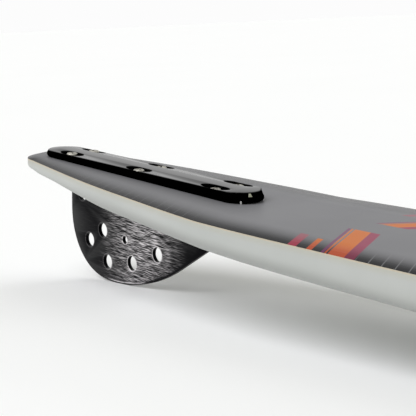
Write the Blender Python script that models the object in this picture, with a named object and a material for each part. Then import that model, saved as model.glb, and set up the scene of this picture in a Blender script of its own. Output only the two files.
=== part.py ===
"""Slalom water ski with an adjustable fin, lying as it does on a floor: on its fin and its forebody.

All lengths are metres. The ski is modelled in its own frame, where x runs from the tail's end to the tip,
y runs across and z = 0 is the flat of the deck at the tail. The frame is then pitched so that the fin and
the forebody both touch z = 0, with the origin under the middle of the whole ski.
"""

from math import atan, cos, hypot, pi, sin, sqrt, tan

import bmesh
import bpy

# Clearance between pieces that touch
GAP = 0.0003

# Outline from above: distance from the tail, full width
SKI_LENGTH = 1.700
WIDEST_FROM_TAIL = 1.103
MAX_WIDTH = 0.172
TAIL_CORNER_LENGTH = 0.021
TAIL_CORNER_POWER = 2.2
OUTLINE = [
    (TAIL_CORNER_LENGTH, 0.0574),
    (0.050, 0.0684),
    (0.090, 0.0834),
    (0.130, 0.0960),
    (0.180, 0.1076),
    (0.230, 0.1182),
    (0.300, 0.1276),
    (0.370, 0.1318),
    (0.450, 0.1355),
    (0.560, 0.1435),
    (0.800, 0.1600),
    (WIDEST_FROM_TAIL, MAX_WIDTH),
]
TIP_POWER = 2.1
TIP_ROUNDNESS = 0.75
BLUNT_SHARE = 0.985

# Thickness of the hull on its rails: distance from the tail, thickness
THICKNESS = [
    (0.000, 0.0037),
    (0.017, 0.0074),
    (0.033, 0.0098),
    (0.056, 0.0105),
    (0.100, 0.0127),
    (0.146, 0.0150),
    (0.187, 0.0168),
    (0.240, 0.0188),
    (0.300, 0.0210),
    (0.352, 0.0221),
    (0.436, 0.0235),
    (0.526, 0.0248),
    (0.743, 0.0268),
    (0.943, 0.0268),
    (1.143, 0.0250),
    (1.343, 0.0208),
    (1.523, 0.0157),
    (SKI_LENGTH, 0.0110),
]

# Lower bevel's height on the side wall, and the depth of the tunnel along the base
BEVEL = [
    (0.000, 0.0006),
    (0.056, 0.0009),
    (0.146, 0.0028),
    (0.240, 0.0055),
    (0.352, 0.0082),
    (0.436, 0.0100),
    (0.600, 0.0115),
    (1.143, 0.0112),
    (1.500, 0.0065),
    (SKI_LENGTH, 0.0020),
]
TUNNEL = [(0.240, 0.0), (0.420, 0.0022), (0.600, 0.0030), (1.050, 0.0030), (1.350, 0.0)]
BEVEL_ASPECT = 1.35
RAIL_FLAT = 0.006

# Skins of the sandwich
DECK_THICKNESS = 0.0009
DECK_LIP = 0.0003
DECK_ROLL_WIDTH = 0.005
LAMINATE_THICKNESS = 0.0007
SIDE_WALL = 0.0016
BASE_FLOOR = 0.0015
END_WALL = 0.0030

# Deck line: flat under the fin block, then a straight rise to the bindings, then the turned-up tip
DECK_BREAK_MARGIN = 0.005
DECK_BLEND = 0.010
DECK_SLOPE = 0.037
TIP_RISE_START = 0.995
TIP_RISE = 0.060
TIP_RISE_POWER = 2.3

# Fin block and its two rows of screws
REAR_SCREW_FROM_TAIL = 0.046
SCREW_PITCH = 0.0825
SCREW_COLUMNS = 3
SCREW_ROW_HALF = 0.0096
BLOCK_REAR_OVERHANG = 0.0367
BLOCK_FRONT_OVERHANG = 0.0293
BLOCK_HALF_WIDTH = 0.0142
BLOCK_WALL_REAR = 0.0052
BLOCK_WALL_FRONT = 0.0066
BLOCK_CROWN = 0.0014
BLOCK_NOSE_INSET = 0.0024
BLOCK_NOSE_CUT = 0.00016
RECESS_LENGTH = 0.0256
RECESS_HALF_WIDTH = 0.0039
RECESS_FLOOR = 0.0037
FORE_AFT_TRAVEL = 0.004

# Pan-head screws
SCREW_SHANK_RADIUS = 0.0020
SCREW_HEAD_RADIUS = 0.0036
SCREW_HEAD_HEIGHT = 0.0029
SCREW_SHANK_LENGTH = 0.0108
CROSS_WIDTH = 0.0009
CROSS_SPAN = 0.0036
CROSS_DEPTH = 0.0013

# Fin plate, its profile below the deck and its holes (distance ahead of the rear screws, height, radius)
FIN_THICKNESS = 0.0030
FIN_REAR = -0.0131
FIN_FRONT = 0.1780
FIN_DEPTH = 0.0839
FIN_LOWEST = 0.0351
FIN_HEEL_START = 0.0350
FIN_SWEEP_RADIUS = 0.14525
FIN_SWEEP_ANGLE = 0.560
FIN_TAB_TOP = 0.0036
FIN_EDGE = 0.0002
FIN_HOLE_RADIUS = 0.00527
FIN_VENT_RADIUS = 0.0028
FIN_HOLES = [
    (0.0272, -0.5697 * FIN_DEPTH, FIN_HOLE_RADIUS),
    (0.0105, -0.6913 * FIN_DEPTH, FIN_HOLE_RADIUS),
    (0.0333, -0.8367 * FIN_DEPTH, FIN_HOLE_RADIUS),
    (0.0634, -0.7795 * FIN_DEPTH, FIN_HOLE_RADIUS),
    (0.0930, -0.6353 * FIN_DEPTH, FIN_HOLE_RADIUS),
    (0.0008, -0.2968 * FIN_DEPTH, FIN_HOLE_RADIUS),
    (0.0546, -0.5959 * FIN_DEPTH, FIN_VENT_RADIUS),
]
DEPTH_TRAVEL = 0.002
SLOT_SIDE_CLEARANCE = 0.0005
SLOT_END_CLEARANCE = 0.001

# Clamp inside the block: a bar beside the fin's tab, pushed by set screws from the far wall
CLAMP_BAR_THICKNESS = 0.0016
CLAMP_BAR_HEIGHT = 0.0036
CLAMP_BAR_BOTTOM = 0.0010
CLAMP_BAR_INSET = 0.012
CLAMP_SCREW_RADIUS = 0.0017
CLAMP_SCREW_OFFSET = 0.013
CLAMP_SOCKET_RADIUS = 0.0009
CLAMP_SOCKET_DEPTH = 0.0020
CLAMP_SCREW_RECESS = 0.0002

# Hard block in the core under the fin block, with the screws' inserts
INSERT_BLOCK_MARGIN = 0.0015
INSERT_BLOCK_HALF_WIDTH = 0.0148
SCREW_INSERT_RADIUS = 0.0032
SCREW_INSERT_LENGTH = 0.0052

# Binding inserts, flush in the deck: distances of the pairs from the tail
BINDING_COLUMNS = [0.500, 0.575, 0.735, 0.800, 0.865]
BINDING_HALF_SPACING = 0.032
BINDING_INSERT_RADIUS = 0.0048
BINDING_INSERT_LENGTH = 0.0110
BINDING_INSERT_BORE = 0.0026
BINDING_INSERT_SINK = 0.0001

# Fineness of the meshes
HULL_STATIONS = 42
TUNNEL_STEPS = 6
ROLL_STEPS = 3
BEVEL_STEPS = 4
HOLE_SIDES = 16
FIN_HOLE_SIDES = 36
ROUND_SIDES = 16
CROWN_STEPS = 8
NOSE_STEPS = 10
WALL_STEPS = 3

BLOCK_REAR = REAR_SCREW_FROM_TAIL - BLOCK_REAR_OVERHANG
BLOCK_FRONT = REAR_SCREW_FROM_TAIL + SCREW_PITCH * (SCREW_COLUMNS - 1) + BLOCK_FRONT_OVERHANG
BLOCK_CENTRE = (BLOCK_REAR + BLOCK_FRONT) / 2
BLOCK_LENGTH = BLOCK_FRONT - BLOCK_REAR
DECK_BREAK = BLOCK_FRONT + FORE_AFT_TRAVEL + DECK_BREAK_MARGIN
SCREW_COLUMN_X = [REAR_SCREW_FROM_TAIL + i * SCREW_PITCH for i in range(SCREW_COLUMNS)]


def smooth_through(points):
    """A monotone cubic curve through (x, value) points, flat beyond its ends."""
    xs = [p[0] for p in points]
    ys = [p[1] for p in points]
    steps = [(ys[i + 1] - ys[i]) / (xs[i + 1] - xs[i]) for i in range(len(xs) - 1)]
    slopes = [steps[0]]
    for before, after in zip(steps, steps[1:]):
        slopes.append(2 * before * after / (before + after) if before * after > 0 else 0.0)
    slopes.append(steps[-1])

    def value(x):
        if x <= xs[0]:
            return ys[0]
        if x >= xs[-1]:
            return ys[-1]
        i = max(k for k in range(len(xs) - 1) if xs[k] <= x)
        width = xs[i + 1] - xs[i]
        t = (x - xs[i]) / width
        start = ys[i] * (1 + 2 * t) * (1 - t) ** 2 + slopes[i] * width * t * (1 - t) ** 2
        end = ys[i + 1] * t * t * (3 - 2 * t) + slopes[i + 1] * width * t * t * (t - 1)
        return start + end

    return value


outline_width = smooth_through(OUTLINE)
thickness = smooth_through(THICKNESS)
bevel_height = smooth_through(BEVEL)
tunnel_depth = smooth_through(TUNNEL)


def half_width(x):
    """Half the ski's width: a rounded tail, the outline's curve, then a parabolic tip."""
    if x < TAIL_CORNER_LENGTH:
        share = BLUNT_SHARE * (TAIL_CORNER_LENGTH - x) / TAIL_CORNER_LENGTH
        return OUTLINE[0][1] / 2 * (1 - share**TAIL_CORNER_POWER) ** (1 / TAIL_CORNER_POWER)
    if x > WIDEST_FROM_TAIL:
        share = BLUNT_SHARE * (x - WIDEST_FROM_TAIL) / (SKI_LENGTH - WIDEST_FROM_TAIL)
        return MAX_WIDTH / 2 * (1 - share**TIP_POWER) ** TIP_ROUNDNESS
    return outline_width(x) / 2


def deck_z(x):
    """Height of the deck's flat middle."""
    along = x - DECK_BREAK
    if along <= 0:
        rise = 0.0
    elif along < DECK_BLEND:
        rise = DECK_SLOPE * along**2 / (2 * DECK_BLEND)
    else:
        rise = DECK_SLOPE * (along - DECK_BLEND / 2)
    if x > TIP_RISE_START:
        share = (x - TIP_RISE_START) / (SKI_LENGTH - TIP_RISE_START)
        rise += TIP_RISE * share**TIP_RISE_POWER
    return rise


def base_z(x):
    """Height of the base's rails."""
    return deck_z(x) - thickness(x)


def seam_z(x):
    """Underside of the deck shell."""
    return deck_z(x) - DECK_THICKNESS


def rim_z(x):
    """Top of the base shell's rim and of the core, under the laminate."""
    return seam_z(x) - LAMINATE_THICKNESS - 2 * GAP


def bevel_width(x):
    return min(BEVEL_ASPECT * bevel_height(x), 0.3 * half_width(x))


def tunnel_half_width(x):
    return max(half_width(x) - bevel_width(x) - RAIL_FLAT, 0.3 * half_width(x))


def hull_stations():
    """Distances from the tail of the hull's sections, close together at both ends."""
    inner = [END_WALL, END_WALL + GAP, END_WALL + 2 * GAP]
    fixed = inner + [SKI_LENGTH - x for x in inner] + [DECK_BREAK, DECK_BREAK + DECK_BLEND, TIP_RISE_START]
    fixed.append(TAIL_CORNER_LENGTH)
    even = [SKI_LENGTH * (1 - cos(pi * i / HULL_STATIONS)) / 2 for i in range(HULL_STATIONS + 1)]
    clear = [x for x in even if all(abs(x - f) > 0.0015 for f in fixed)]
    return sorted(clear + fixed)


def deck_section(x):
    """Deck shell: flat underside, flat top and edges rolled down to the seam."""
    width = half_width(x)
    roll = min(DECK_ROLL_WIDTH, 0.5 * width)
    low = seam_z(x)
    top = deck_z(x)
    side = [(width, low), (width, low + DECK_LIP)]
    for i in range(1, ROLL_STEPS + 1):
        turn = pi / 2 * i / ROLL_STEPS
        side.append((width - roll * (1 - cos(turn)), low + DECK_LIP + (top - low - DECK_LIP) * sin(turn)))
    return side + [(-y, z) for y, z in reversed(side)]


def laminate_section(x):
    width = half_width(x)
    top = seam_z(x) - GAP
    low = top - LAMINATE_THICKNESS
    return [(width, low), (width, top), (-width, top), (-width, low)]


def tunnel_arc(x, lift):
    """Base line across the tunnel, from the -y side to the +y side, raised by lift."""
    reach = tunnel_half_width(x)
    places = [reach * (2 * i / TUNNEL_STEPS - 1) for i in range(TUNNEL_STEPS + 1)]
    return [(y, base_z(x) + lift + tunnel_depth(x) * (1 - (y / reach) ** 2)) for y in places]


def base_section(x):
    """Base shell: side walls, rounded bevels, rails and tunnel outside, and a tray for the core inside."""
    width = half_width(x)
    low = base_z(x)
    rim = rim_z(x)
    bevel = bevel_height(x)
    across = bevel_width(x)
    side = [(width, rim), (width, low + bevel)]
    for i in range(1, BEVEL_STEPS + 1):
        turn = pi / 2 * i / BEVEL_STEPS
        side.append((width - across * (1 - cos(turn)), low + bevel * (1 - sin(turn))))
    outer = [(-y, z) for y, z in side] + tunnel_arc(x, 0.0) + list(reversed(side))
    return outer + tray_line(x, 0.0)


def tray_line(x, inset):
    """Inside line of the base shell from the +y rim round to the -y rim, moved inwards by inset."""
    width = half_width(x) - SIDE_WALL - inset
    rim = rim_z(x)
    if x < END_WALL + GAP / 2 or x > SKI_LENGTH - END_WALL - GAP / 2:
        flat = [width, width * 0.9, tunnel_half_width(x) * 0.9]
        heights = [rim, rim - 0.0001, rim - 0.00015]
        arc = [(y * 0.85, rim - 0.0002) for y, z in reversed(tunnel_arc(x, 0.0))]
    else:
        corner = max(width - bevel_width(x), 0.8 * width)
        flat = [width, width, corner]
        heights = [rim, base_z(x) + bevel_height(x) + BASE_FLOOR / 2 + inset, base_z(x) + BASE_FLOOR + inset]
        arc = [(y * 0.95, z) for y, z in reversed(tunnel_arc(x, BASE_FLOOR + inset))]
    side = list(zip(flat, heights))
    return side + arc + [(-y, z) for y, z in reversed(side)]


def core_section(x):
    return tray_line(x, GAP)


def insert_block_section(x):
    """The hard block under the fin block fills the core's depth."""
    top = rim_z(x)
    low = base_z(x) + BASE_FLOOR + GAP
    return [
        (INSERT_BLOCK_HALF_WIDTH, low),
        (INSERT_BLOCK_HALF_WIDTH, top),
        (-INSERT_BLOCK_HALF_WIDTH, top),
        (-INSERT_BLOCK_HALF_WIDTH, low),
    ]


def material(name, colour, roughness, metallic=0.0):
    made = bpy.data.materials.new(name)
    made.use_nodes = True
    shader = made.node_tree.nodes["Principled BSDF"]
    shader.inputs["Base Color"].default_value = (*colour, 1.0)
    shader.inputs["Roughness"].default_value = roughness
    shader.inputs["Metallic"].default_value = metallic
    made.diffuse_color = (*colour, 1.0)
    return made


def mesh_object(name, bm, parent, place, surface, sharp=0.6, turn=(0.0, 0.0, 0.0)):
    """A named object from a bmesh, at a place in its parent's frame."""
    bmesh.ops.recalc_face_normals(bm, faces=bm.faces)
    mesh = bpy.data.meshes.new(name)
    bm.to_mesh(mesh)
    bm.free()
    mesh.shade_smooth()
    mesh.set_sharp_from_angle(angle=sharp)
    return place_mesh(name, mesh, parent, place, surface, turn)


def place_mesh(name, mesh, parent, place, surface=None, turn=(0.0, 0.0, 0.0)):
    made = bpy.data.objects.new(name, mesh)
    bpy.context.collection.objects.link(made)
    made.parent = parent
    made.location = place
    made.rotation_euler = turn
    if surface and not mesh.materials:
        mesh.materials.append(surface)
    return made


def empty(name, parent, place):
    made = bpy.data.objects.new(name, None)
    bpy.context.collection.objects.link(made)
    made.parent = parent
    made.location = place
    return made


def loft(section, stations):
    """A closed body through one section per station along x."""
    bm = bmesh.new()
    rings = [[bm.verts.new((x, y, z)) for y, z in section(x)] for x in stations]
    count = len(rings[0])
    for first, second in zip(rings, rings[1:]):
        for i in range(count):
            j = (i + 1) % count
            bm.faces.new((first[i], first[j], second[j], second[i]))
    bm.faces.new(rings[0])
    bm.faces.new(list(reversed(rings[-1])))
    return bm


def add_prism(bm, outline, start, end, axis="z"):
    """A closed prism from an outline, along z, or along y for an outline given as (x, z)."""
    def point(a, b, depth):
        return (a, b, depth) if axis == "z" else (a, depth, b)

    low = [bm.verts.new(point(a, b, start)) for a, b in outline]
    high = [bm.verts.new(point(a, b, end)) for a, b in outline]
    count = len(outline)
    faces = [bm.faces.new(low), bm.faces.new(list(reversed(high)))]
    for i in range(count):
        j = (i + 1) % count
        faces.append(bm.faces.new((low[i], high[i], high[j], low[j])))
    return faces


def circle(radius, sides, centre=(0.0, 0.0)):
    turns = [2 * pi * i / sides for i in range(sides)]
    return [(centre[0] + radius * cos(t), centre[1] + radius * sin(t)) for t in turns]


def obround(start, end, half, y=0.0, steps=8):
    """A slot with round ends, between two x limits."""
    turns = [pi * i / steps for i in range(steps + 1)]
    right = [(end - half + half * sin(t), y - half * cos(t)) for t in turns]
    left = [(start + half - half * sin(t), y + half * cos(t)) for t in turns]
    return right + left


def add_turned(bm, profile, sides, phase=0.0):
    """A closed turned body from (radius, z) points that start and end on the axis or form a closed ring."""
    rings = []
    for radius, z in profile:
        if radius == 0:
            rings.append([bm.verts.new((0, 0, z))])
        else:
            turns = [phase + 2 * pi * i / sides for i in range(sides)]
            rings.append([bm.verts.new((radius * cos(t), radius * sin(t), z)) for t in turns])
    pairs = list(zip(rings, rings[1:]))
    if profile[0][0] > 0:
        pairs.append((rings[-1], rings[0]))
    for first, second in pairs:
        for i in range(sides):
            j = (i + 1) % sides
            near = [first[i % len(first)], first[j % len(first)]]
            far = [second[j % len(second)], second[i % len(second)]]
            bm.faces.new(list(dict.fromkeys(near + far)))


def cutter(name, bm, parent, place=(0.0, 0.0, 0.0)):
    made = mesh_object(name, bm, parent, place, None)
    made.hide_render = True
    made.display_type = "WIRE"
    return made


def cut(target, tool):
    step = target.modifiers.new(tool.name, "BOOLEAN")
    step.operation = "DIFFERENCE"
    step.solver = "EXACT"
    step.object = tool


def slot_outline():
    """The hull's slot, long enough for the fin's tab over the whole fore-aft travel."""
    room = FORE_AFT_TRAVEL + SLOT_END_CLEARANCE
    start = REAR_SCREW_FROM_TAIL + FIN_REAR - room
    end = REAR_SCREW_FROM_TAIL + FIN_FRONT + room
    return obround(start, end, FIN_THICKNESS / 2 + SLOT_SIDE_CLEARANCE)


def screw_places():
    return [(x, side * SCREW_ROW_HALF) for x in SCREW_COLUMN_X for side in (-1, 1)]


def binding_places():
    return [(x, side * BINDING_HALF_SPACING) for x in BINDING_COLUMNS for side in (-1, 1)]


def make_hull(root):
    """Deck shell, laminate, core and base shell, with the slot and the holes through them."""
    stations = hull_stations()
    inside = [x for x in stations if END_WALL + 1.5 * GAP < x < SKI_LENGTH - END_WALL - 1.5 * GAP]
    deep = base_z(DECK_BREAK) * 2

    skin_holes = bmesh.new()
    add_prism(skin_holes, slot_outline(), deep, -deep)
    hole = SCREW_SHANK_RADIUS + GAP
    for place in screw_places():
        add_prism(skin_holes, circle(hole, HOLE_SIDES, place), deep, -deep)
    for x, y in binding_places():
        z = deck_z(x)
        outline = circle(BINDING_INSERT_RADIUS + GAP, HOLE_SIDES, (x, y))
        add_prism(skin_holes, outline, z - BINDING_INSERT_LENGTH, z + BINDING_INSERT_LENGTH)
    skin_tool = cutter("skin_hole_cutter", skin_holes, root)

    here = (0.0, 0.0, 0.0)
    surface = material("deck_black", (0.012, 0.012, 0.013), 0.16)
    deck = mesh_object("deck_shell", loft(deck_section, stations), root, here, surface)
    cut(deck, skin_tool)
    surface = material("laminate", (0.78, 0.70, 0.50), 0.5)
    laminate = mesh_object("glass_laminate", loft(laminate_section, stations), root, here, surface)
    cut(laminate, skin_tool)

    surface = material("base_white", (0.72, 0.74, 0.72), 0.4)
    base = mesh_object("base_shell", loft(base_section, stations), root, here, surface)
    slot = bmesh.new()
    add_prism(slot, slot_outline(), deep, 0.0)
    slot_tool = cutter("slot_cutter", slot, root)
    cut(base, slot_tool)

    surface = material("foam", (0.80, 0.72, 0.48), 0.9)
    core = mesh_object("foam_core", loft(core_section, inside), root, here, surface)
    core_holes = bmesh.new()
    start = BLOCK_REAR - INSERT_BLOCK_MARGIN - GAP
    end = BLOCK_FRONT + INSERT_BLOCK_MARGIN + GAP
    half = INSERT_BLOCK_HALF_WIDTH + GAP
    add_prism(core_holes, [(start, -half), (end, -half), (end, half), (start, half)], deep, 0.0)
    for x, y in binding_places():
        low = deck_z(x) - BINDING_INSERT_SINK - BINDING_INSERT_LENGTH - 3 * GAP
        outline = circle(BINDING_INSERT_RADIUS + GAP, HOLE_SIDES, (x, y))
        add_prism(core_holes, outline, low, deck_z(x) + BINDING_INSERT_LENGTH)
    cut(core, cutter("core_hole_cutter", core_holes, root))

    make_insert_block(root, stations, slot_tool)
    make_binding_inserts(root)


def make_insert_block(root, stations, slot_tool):
    """Hard block let into the core, with blind seats for the six screw inserts."""
    start = BLOCK_REAR - INSERT_BLOCK_MARGIN
    end = BLOCK_FRONT + INSERT_BLOCK_MARGIN
    within = [start] + [x for x in stations if start + GAP < x < end - GAP] + [end]
    surface = material("insert_block", (0.10, 0.09, 0.07), 0.6)
    block = mesh_object("fin_insert_block", loft(insert_block_section, within), root, (0, 0, 0), surface)
    cut(block, slot_tool)
    seats = bmesh.new()
    seat_floor = rim_z(0) - SCREW_INSERT_LENGTH - GAP
    for place in screw_places():
        add_prism(seats, circle(SCREW_INSERT_RADIUS + GAP, HOLE_SIDES, place), seat_floor, 0.0)
    cut(block, cutter("insert_seat_cutter", seats, root))

    tube = bmesh.new()
    bore = SCREW_SHANK_RADIUS + GAP
    low = -SCREW_INSERT_LENGTH
    outer = SCREW_INSERT_RADIUS
    add_turned(tube, [(bore, 0.0), (outer, 0.0), (outer, low), (bore, low)], ROUND_SIDES)
    steel = material("insert_steel", (0.60, 0.60, 0.58), 0.35, 1.0)
    first = None
    for count, (x, y) in enumerate(screw_places(), 1):
        name = f"fin_screw_insert_{count}"
        place = (x, y, rim_z(x))
        if first is None:
            first = mesh_object(name, tube, root, place, steel)
        else:
            place_mesh(name, first.data, root, place)


def make_binding_inserts(root):
    """Threaded inserts, square to the deck and flush with it."""
    tube = bmesh.new()
    outer = BINDING_INSERT_RADIUS
    low = -BINDING_INSERT_LENGTH
    profile = [(BINDING_INSERT_BORE, 0.0), (outer, 0.0), (outer, low), (BINDING_INSERT_BORE, low)]
    add_turned(tube, profile, ROUND_SIDES)
    steel = material("binding_steel", (0.62, 0.62, 0.60), 0.3, 1.0)
    first = None
    for count, (x, y) in enumerate(binding_places(), 1):
        name = f"binding_insert_{count}"
        place = (x, y, deck_z(x) - BINDING_INSERT_SINK)
        if first is None:
            first = mesh_object(name, tube, root, place, steel)
        else:
            place_mesh(name, first.data, root, place)


def block_wall(x):
    """Height of the block's walls, which rises from the rear nose to the front nose."""
    return BLOCK_WALL_REAR + (BLOCK_WALL_FRONT - BLOCK_WALL_REAR) * (x / BLOCK_LENGTH + 0.5)


def block_top(x, y):
    """Height of the crowned top, which meets the walls at one height all round."""
    past = max(abs(x) - (BLOCK_LENGTH / 2 - BLOCK_NOSE_INSET - BLOCK_HALF_WIDTH), 0.0)
    return block_wall(x) + BLOCK_CROWN * (1 - min(hypot(past, y) / BLOCK_HALF_WIDTH, 1.0) ** 2)


def block_half(x, z):
    """Half width of the block at a distance from its centre and a height, with leaning noses."""
    end = BLOCK_LENGTH / 2 - BLOCK_NOSE_INSET * z / block_wall(x)
    past = abs(x) - (end - BLOCK_HALF_WIDTH)
    return sqrt(max(BLOCK_HALF_WIDTH**2 - past**2, 0.0)) if past > 0 else BLOCK_HALF_WIDTH


def nose_height(x, y):
    """Height at which the leaning nose passes over a point of the plan."""
    room = BLOCK_LENGTH / 2 - abs(x) - BLOCK_HALF_WIDTH + sqrt(max(BLOCK_HALF_WIDTH**2 - y**2, 0.0))
    return room * block_wall(x) / BLOCK_NOSE_INSET


def block_section(x):
    """Section of the crowned block at a distance from its centre: two walls and the crown between them."""
    top = min(block_wall(x), 0.98 * nose_height(x, 0.0))
    heights = [GAP + (top - GAP) * i / WALL_STEPS for i in range(WALL_STEPS + 1)]
    side = [(block_half(x, z), z) for z in heights]
    half = side[-1][0]
    across = [half * (1 - 2 * i / CROWN_STEPS) for i in range(1, CROWN_STEPS)]
    crown = [(y, min(block_top(x, y), nose_height(x, y))) for y in across]
    return side + crown + [(-y, z) for y, z in reversed(side)]


def block_stations():
    """Distances from the block's centre, close together round the noses."""
    start = BLOCK_LENGTH / 2 - BLOCK_HALF_WIDTH - BLOCK_NOSE_INSET
    span = BLOCK_LENGTH / 2 - BLOCK_NOSE_CUT - start
    nose = [start + span * sin(pi / 2 * i / NOSE_STEPS) for i in range(NOSE_STEPS + 1)]
    return [-x for x in reversed(nose)] + nose


def fin_tab_limits():
    """x limits of the fin's tab from the block's centre."""
    offset = REAR_SCREW_FROM_TAIL - BLOCK_CENTRE
    return offset + FIN_REAR, offset + FIN_FRONT


def clamp_line():
    """y of the clamp bar's two faces and of the groove's far wall."""
    near = FIN_THICKNESS / 2 + GAP
    far = near + CLAMP_BAR_THICKNESS
    return near, far, far + GAP


def make_fin_block(travel):
    """Crowned block with six round-ended recesses, slots for the screws and a groove for the fin's tab."""
    surface = material("block_black", (0.010, 0.010, 0.010), 0.28)
    block = mesh_object("fin_block", loft(block_section, block_stations()), travel, (0, 0, 0), surface)

    recesses = bmesh.new()
    slots = bmesh.new()
    slot_half = SCREW_SHANK_RADIUS + GAP
    slot_reach = FORE_AFT_TRAVEL + slot_half + GAP
    for x, y in screw_places():
        x -= BLOCK_CENTRE
        half = RECESS_LENGTH / 2
        recess = obround(x - half, x + half, RECESS_HALF_WIDTH, y)
        add_prism(recesses, recess, RECESS_FLOOR, 2 * block_top(0, 0))
        slot = obround(x - slot_reach, x + slot_reach, slot_half, y)
        add_prism(slots, slot, -GAP, 2 * RECESS_FLOOR)
    cut(block, cutter("recess_cutter", recesses, travel))
    cut(block, cutter("screw_slot_cutter", slots, travel))

    groove = bmesh.new()
    rear, front = fin_tab_limits()
    far = clamp_line()[2]
    near = -FIN_THICKNESS / 2 - GAP
    outline = [(rear - GAP, near), (front + GAP, near), (front + GAP, far), (rear - GAP, far)]
    add_prism(groove, outline, -GAP, FIN_TAB_TOP + DEPTH_TRAVEL + GAP)
    cut(block, cutter("groove_cutter", groove, travel))

    holes = bmesh.new()
    height = CLAMP_BAR_BOTTOM + CLAMP_BAR_HEIGHT / 2
    for x in clamp_screw_places():
        outline = circle(CLAMP_SCREW_RADIUS + GAP, HOLE_SIDES, (x, height))
        add_prism(holes, outline, far - GAP, 2 * BLOCK_HALF_WIDTH, axis="y")
    cut(block, cutter("clamp_hole_cutter", holes, travel))


def clamp_screw_places():
    """x of the set screws from the block's centre, between the screw recesses."""
    middles = [SCREW_COLUMN_X[i] + SCREW_PITCH / 2 - BLOCK_CENTRE for i in range(SCREW_COLUMNS - 1)]
    return [x + side * CLAMP_SCREW_OFFSET for x in middles for side in (-1, 1)]


def make_clamp(travel):
    """Bar beside the fin's tab and the four socket set screws that push it."""
    steel = material("clamp_steel", (0.45, 0.45, 0.45), 0.35, 1.0)
    rear, front = fin_tab_limits()
    near, far, wall = clamp_line()
    start = rear + CLAMP_BAR_INSET
    end = front - CLAMP_BAR_INSET
    bar = bmesh.new()
    outline = [(start, near), (end, near), (end, far), (start, far)]
    add_prism(bar, outline, CLAMP_BAR_BOTTOM, CLAMP_BAR_BOTTOM + CLAMP_BAR_HEIGHT)
    mesh_object("clamp_bar", bar, travel, (0, 0, 0), steel)

    length = BLOCK_HALF_WIDTH - CLAMP_SCREW_RECESS - wall
    screw = bmesh.new()
    radius = CLAMP_SCREW_RADIUS
    socket = CLAMP_SOCKET_RADIUS
    floor = length - CLAMP_SOCKET_DEPTH
    profile = [(0.0, 0.0), (radius, 0.0), (radius, length), (socket, length), (socket, floor), (0.0, floor)]
    add_turned(screw, profile, 12)
    height = CLAMP_BAR_BOTTOM + CLAMP_BAR_HEIGHT / 2
    first = None
    for count, x in enumerate(clamp_screw_places(), 1):
        name = f"clamp_screw_{count}"
        place = (x, wall, height)
        turn = (-pi / 2, 0.0, 0.0)
        if first is None:
            first = mesh_object(name, screw, travel, place, steel, turn=turn)
        else:
            place_mesh(name, first.data, travel, place, turn=turn)


def make_block_screws(root):
    """Pan-head screws with a cross recess, seated on the floor of the block's recesses."""
    head = SCREW_HEAD_HEIGHT
    shank = SCREW_SHANK_RADIUS
    low = -SCREW_SHANK_LENGTH
    profile = [(0.0, low), (shank * 0.8, low), (shank, low + 0.0008), (shank, 0.0), (SCREW_HEAD_RADIUS, 0.0)]
    for share, rise in ((1.0, 0.45), (0.94, 0.68), (0.78, 0.88), (0.45, 0.98), (0.0, 1.0)):
        profile.append((SCREW_HEAD_RADIUS * share, head * rise))
    body = bmesh.new()
    add_turned(body, profile, ROUND_SIDES)
    steel = material("screw_steel", (0.72, 0.71, 0.68), 0.25, 1.0)
    cross = bmesh.new()
    arm = CROSS_WIDTH / 2
    reach = CROSS_SPAN / 2
    outline = [(reach, -arm), (reach, arm), (arm, arm), (arm, reach), (-arm, reach), (-arm, arm),
               (-reach, arm), (-reach, -arm), (-arm, -arm), (-arm, -reach), (arm, -reach), (arm, -arm)]
    add_prism(cross, outline, head - CROSS_DEPTH, 2 * head)
    bmesh.ops.recalc_face_normals(cross, faces=cross.faces)
    tool_mesh = bpy.data.meshes.new("cross_cutter")
    cross.to_mesh(tool_mesh)
    cross.free()
    first = None
    for count, (x, y) in enumerate(screw_places(), 1):
        name = f"fin_block_screw_{count}"
        place = (x, y, RECESS_FLOOR + GAP)
        if first is None:
            first = mesh_object(name, body, root, place, steel)
            made = first
        else:
            made = place_mesh(name, first.data, root, place)
        made.rotation_euler = (0.0, 0.0, 0.5 * count)
        tool = place_mesh(f"cross_cutter_{count}", tool_mesh, made, (0, 0, 0))
        tool.hide_render = True
        tool.display_type = "WIRE"
        cut(made, tool)


def fin_outline():
    """Outline of the fin as (x, z): straight rear edge, elliptical heel, sweep arc, straight run and tab."""
    heel_height = FIN_DEPTH - FIN_HEEL_START
    heel_length = FIN_LOWEST - FIN_REAR
    points = [(FIN_FRONT, FIN_TAB_TOP), (FIN_REAR, FIN_TAB_TOP)]
    for i in range(15):
        turn = pi / 2 * i / 14
        points.append((FIN_LOWEST - heel_length * cos(turn), -FIN_HEEL_START - heel_height * sin(turn)))
    for i in range(1, 13):
        turn = FIN_SWEEP_ANGLE * i / 12
        x = FIN_LOWEST + FIN_SWEEP_RADIUS * sin(turn)
        points.append((x, -FIN_DEPTH + FIN_SWEEP_RADIUS * (1 - cos(turn))))
    last_x, last_z = points[-1]
    points.append((FIN_FRONT, last_z + (FIN_FRONT - last_x) * tan(FIN_SWEEP_ANGLE)))
    return points


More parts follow.
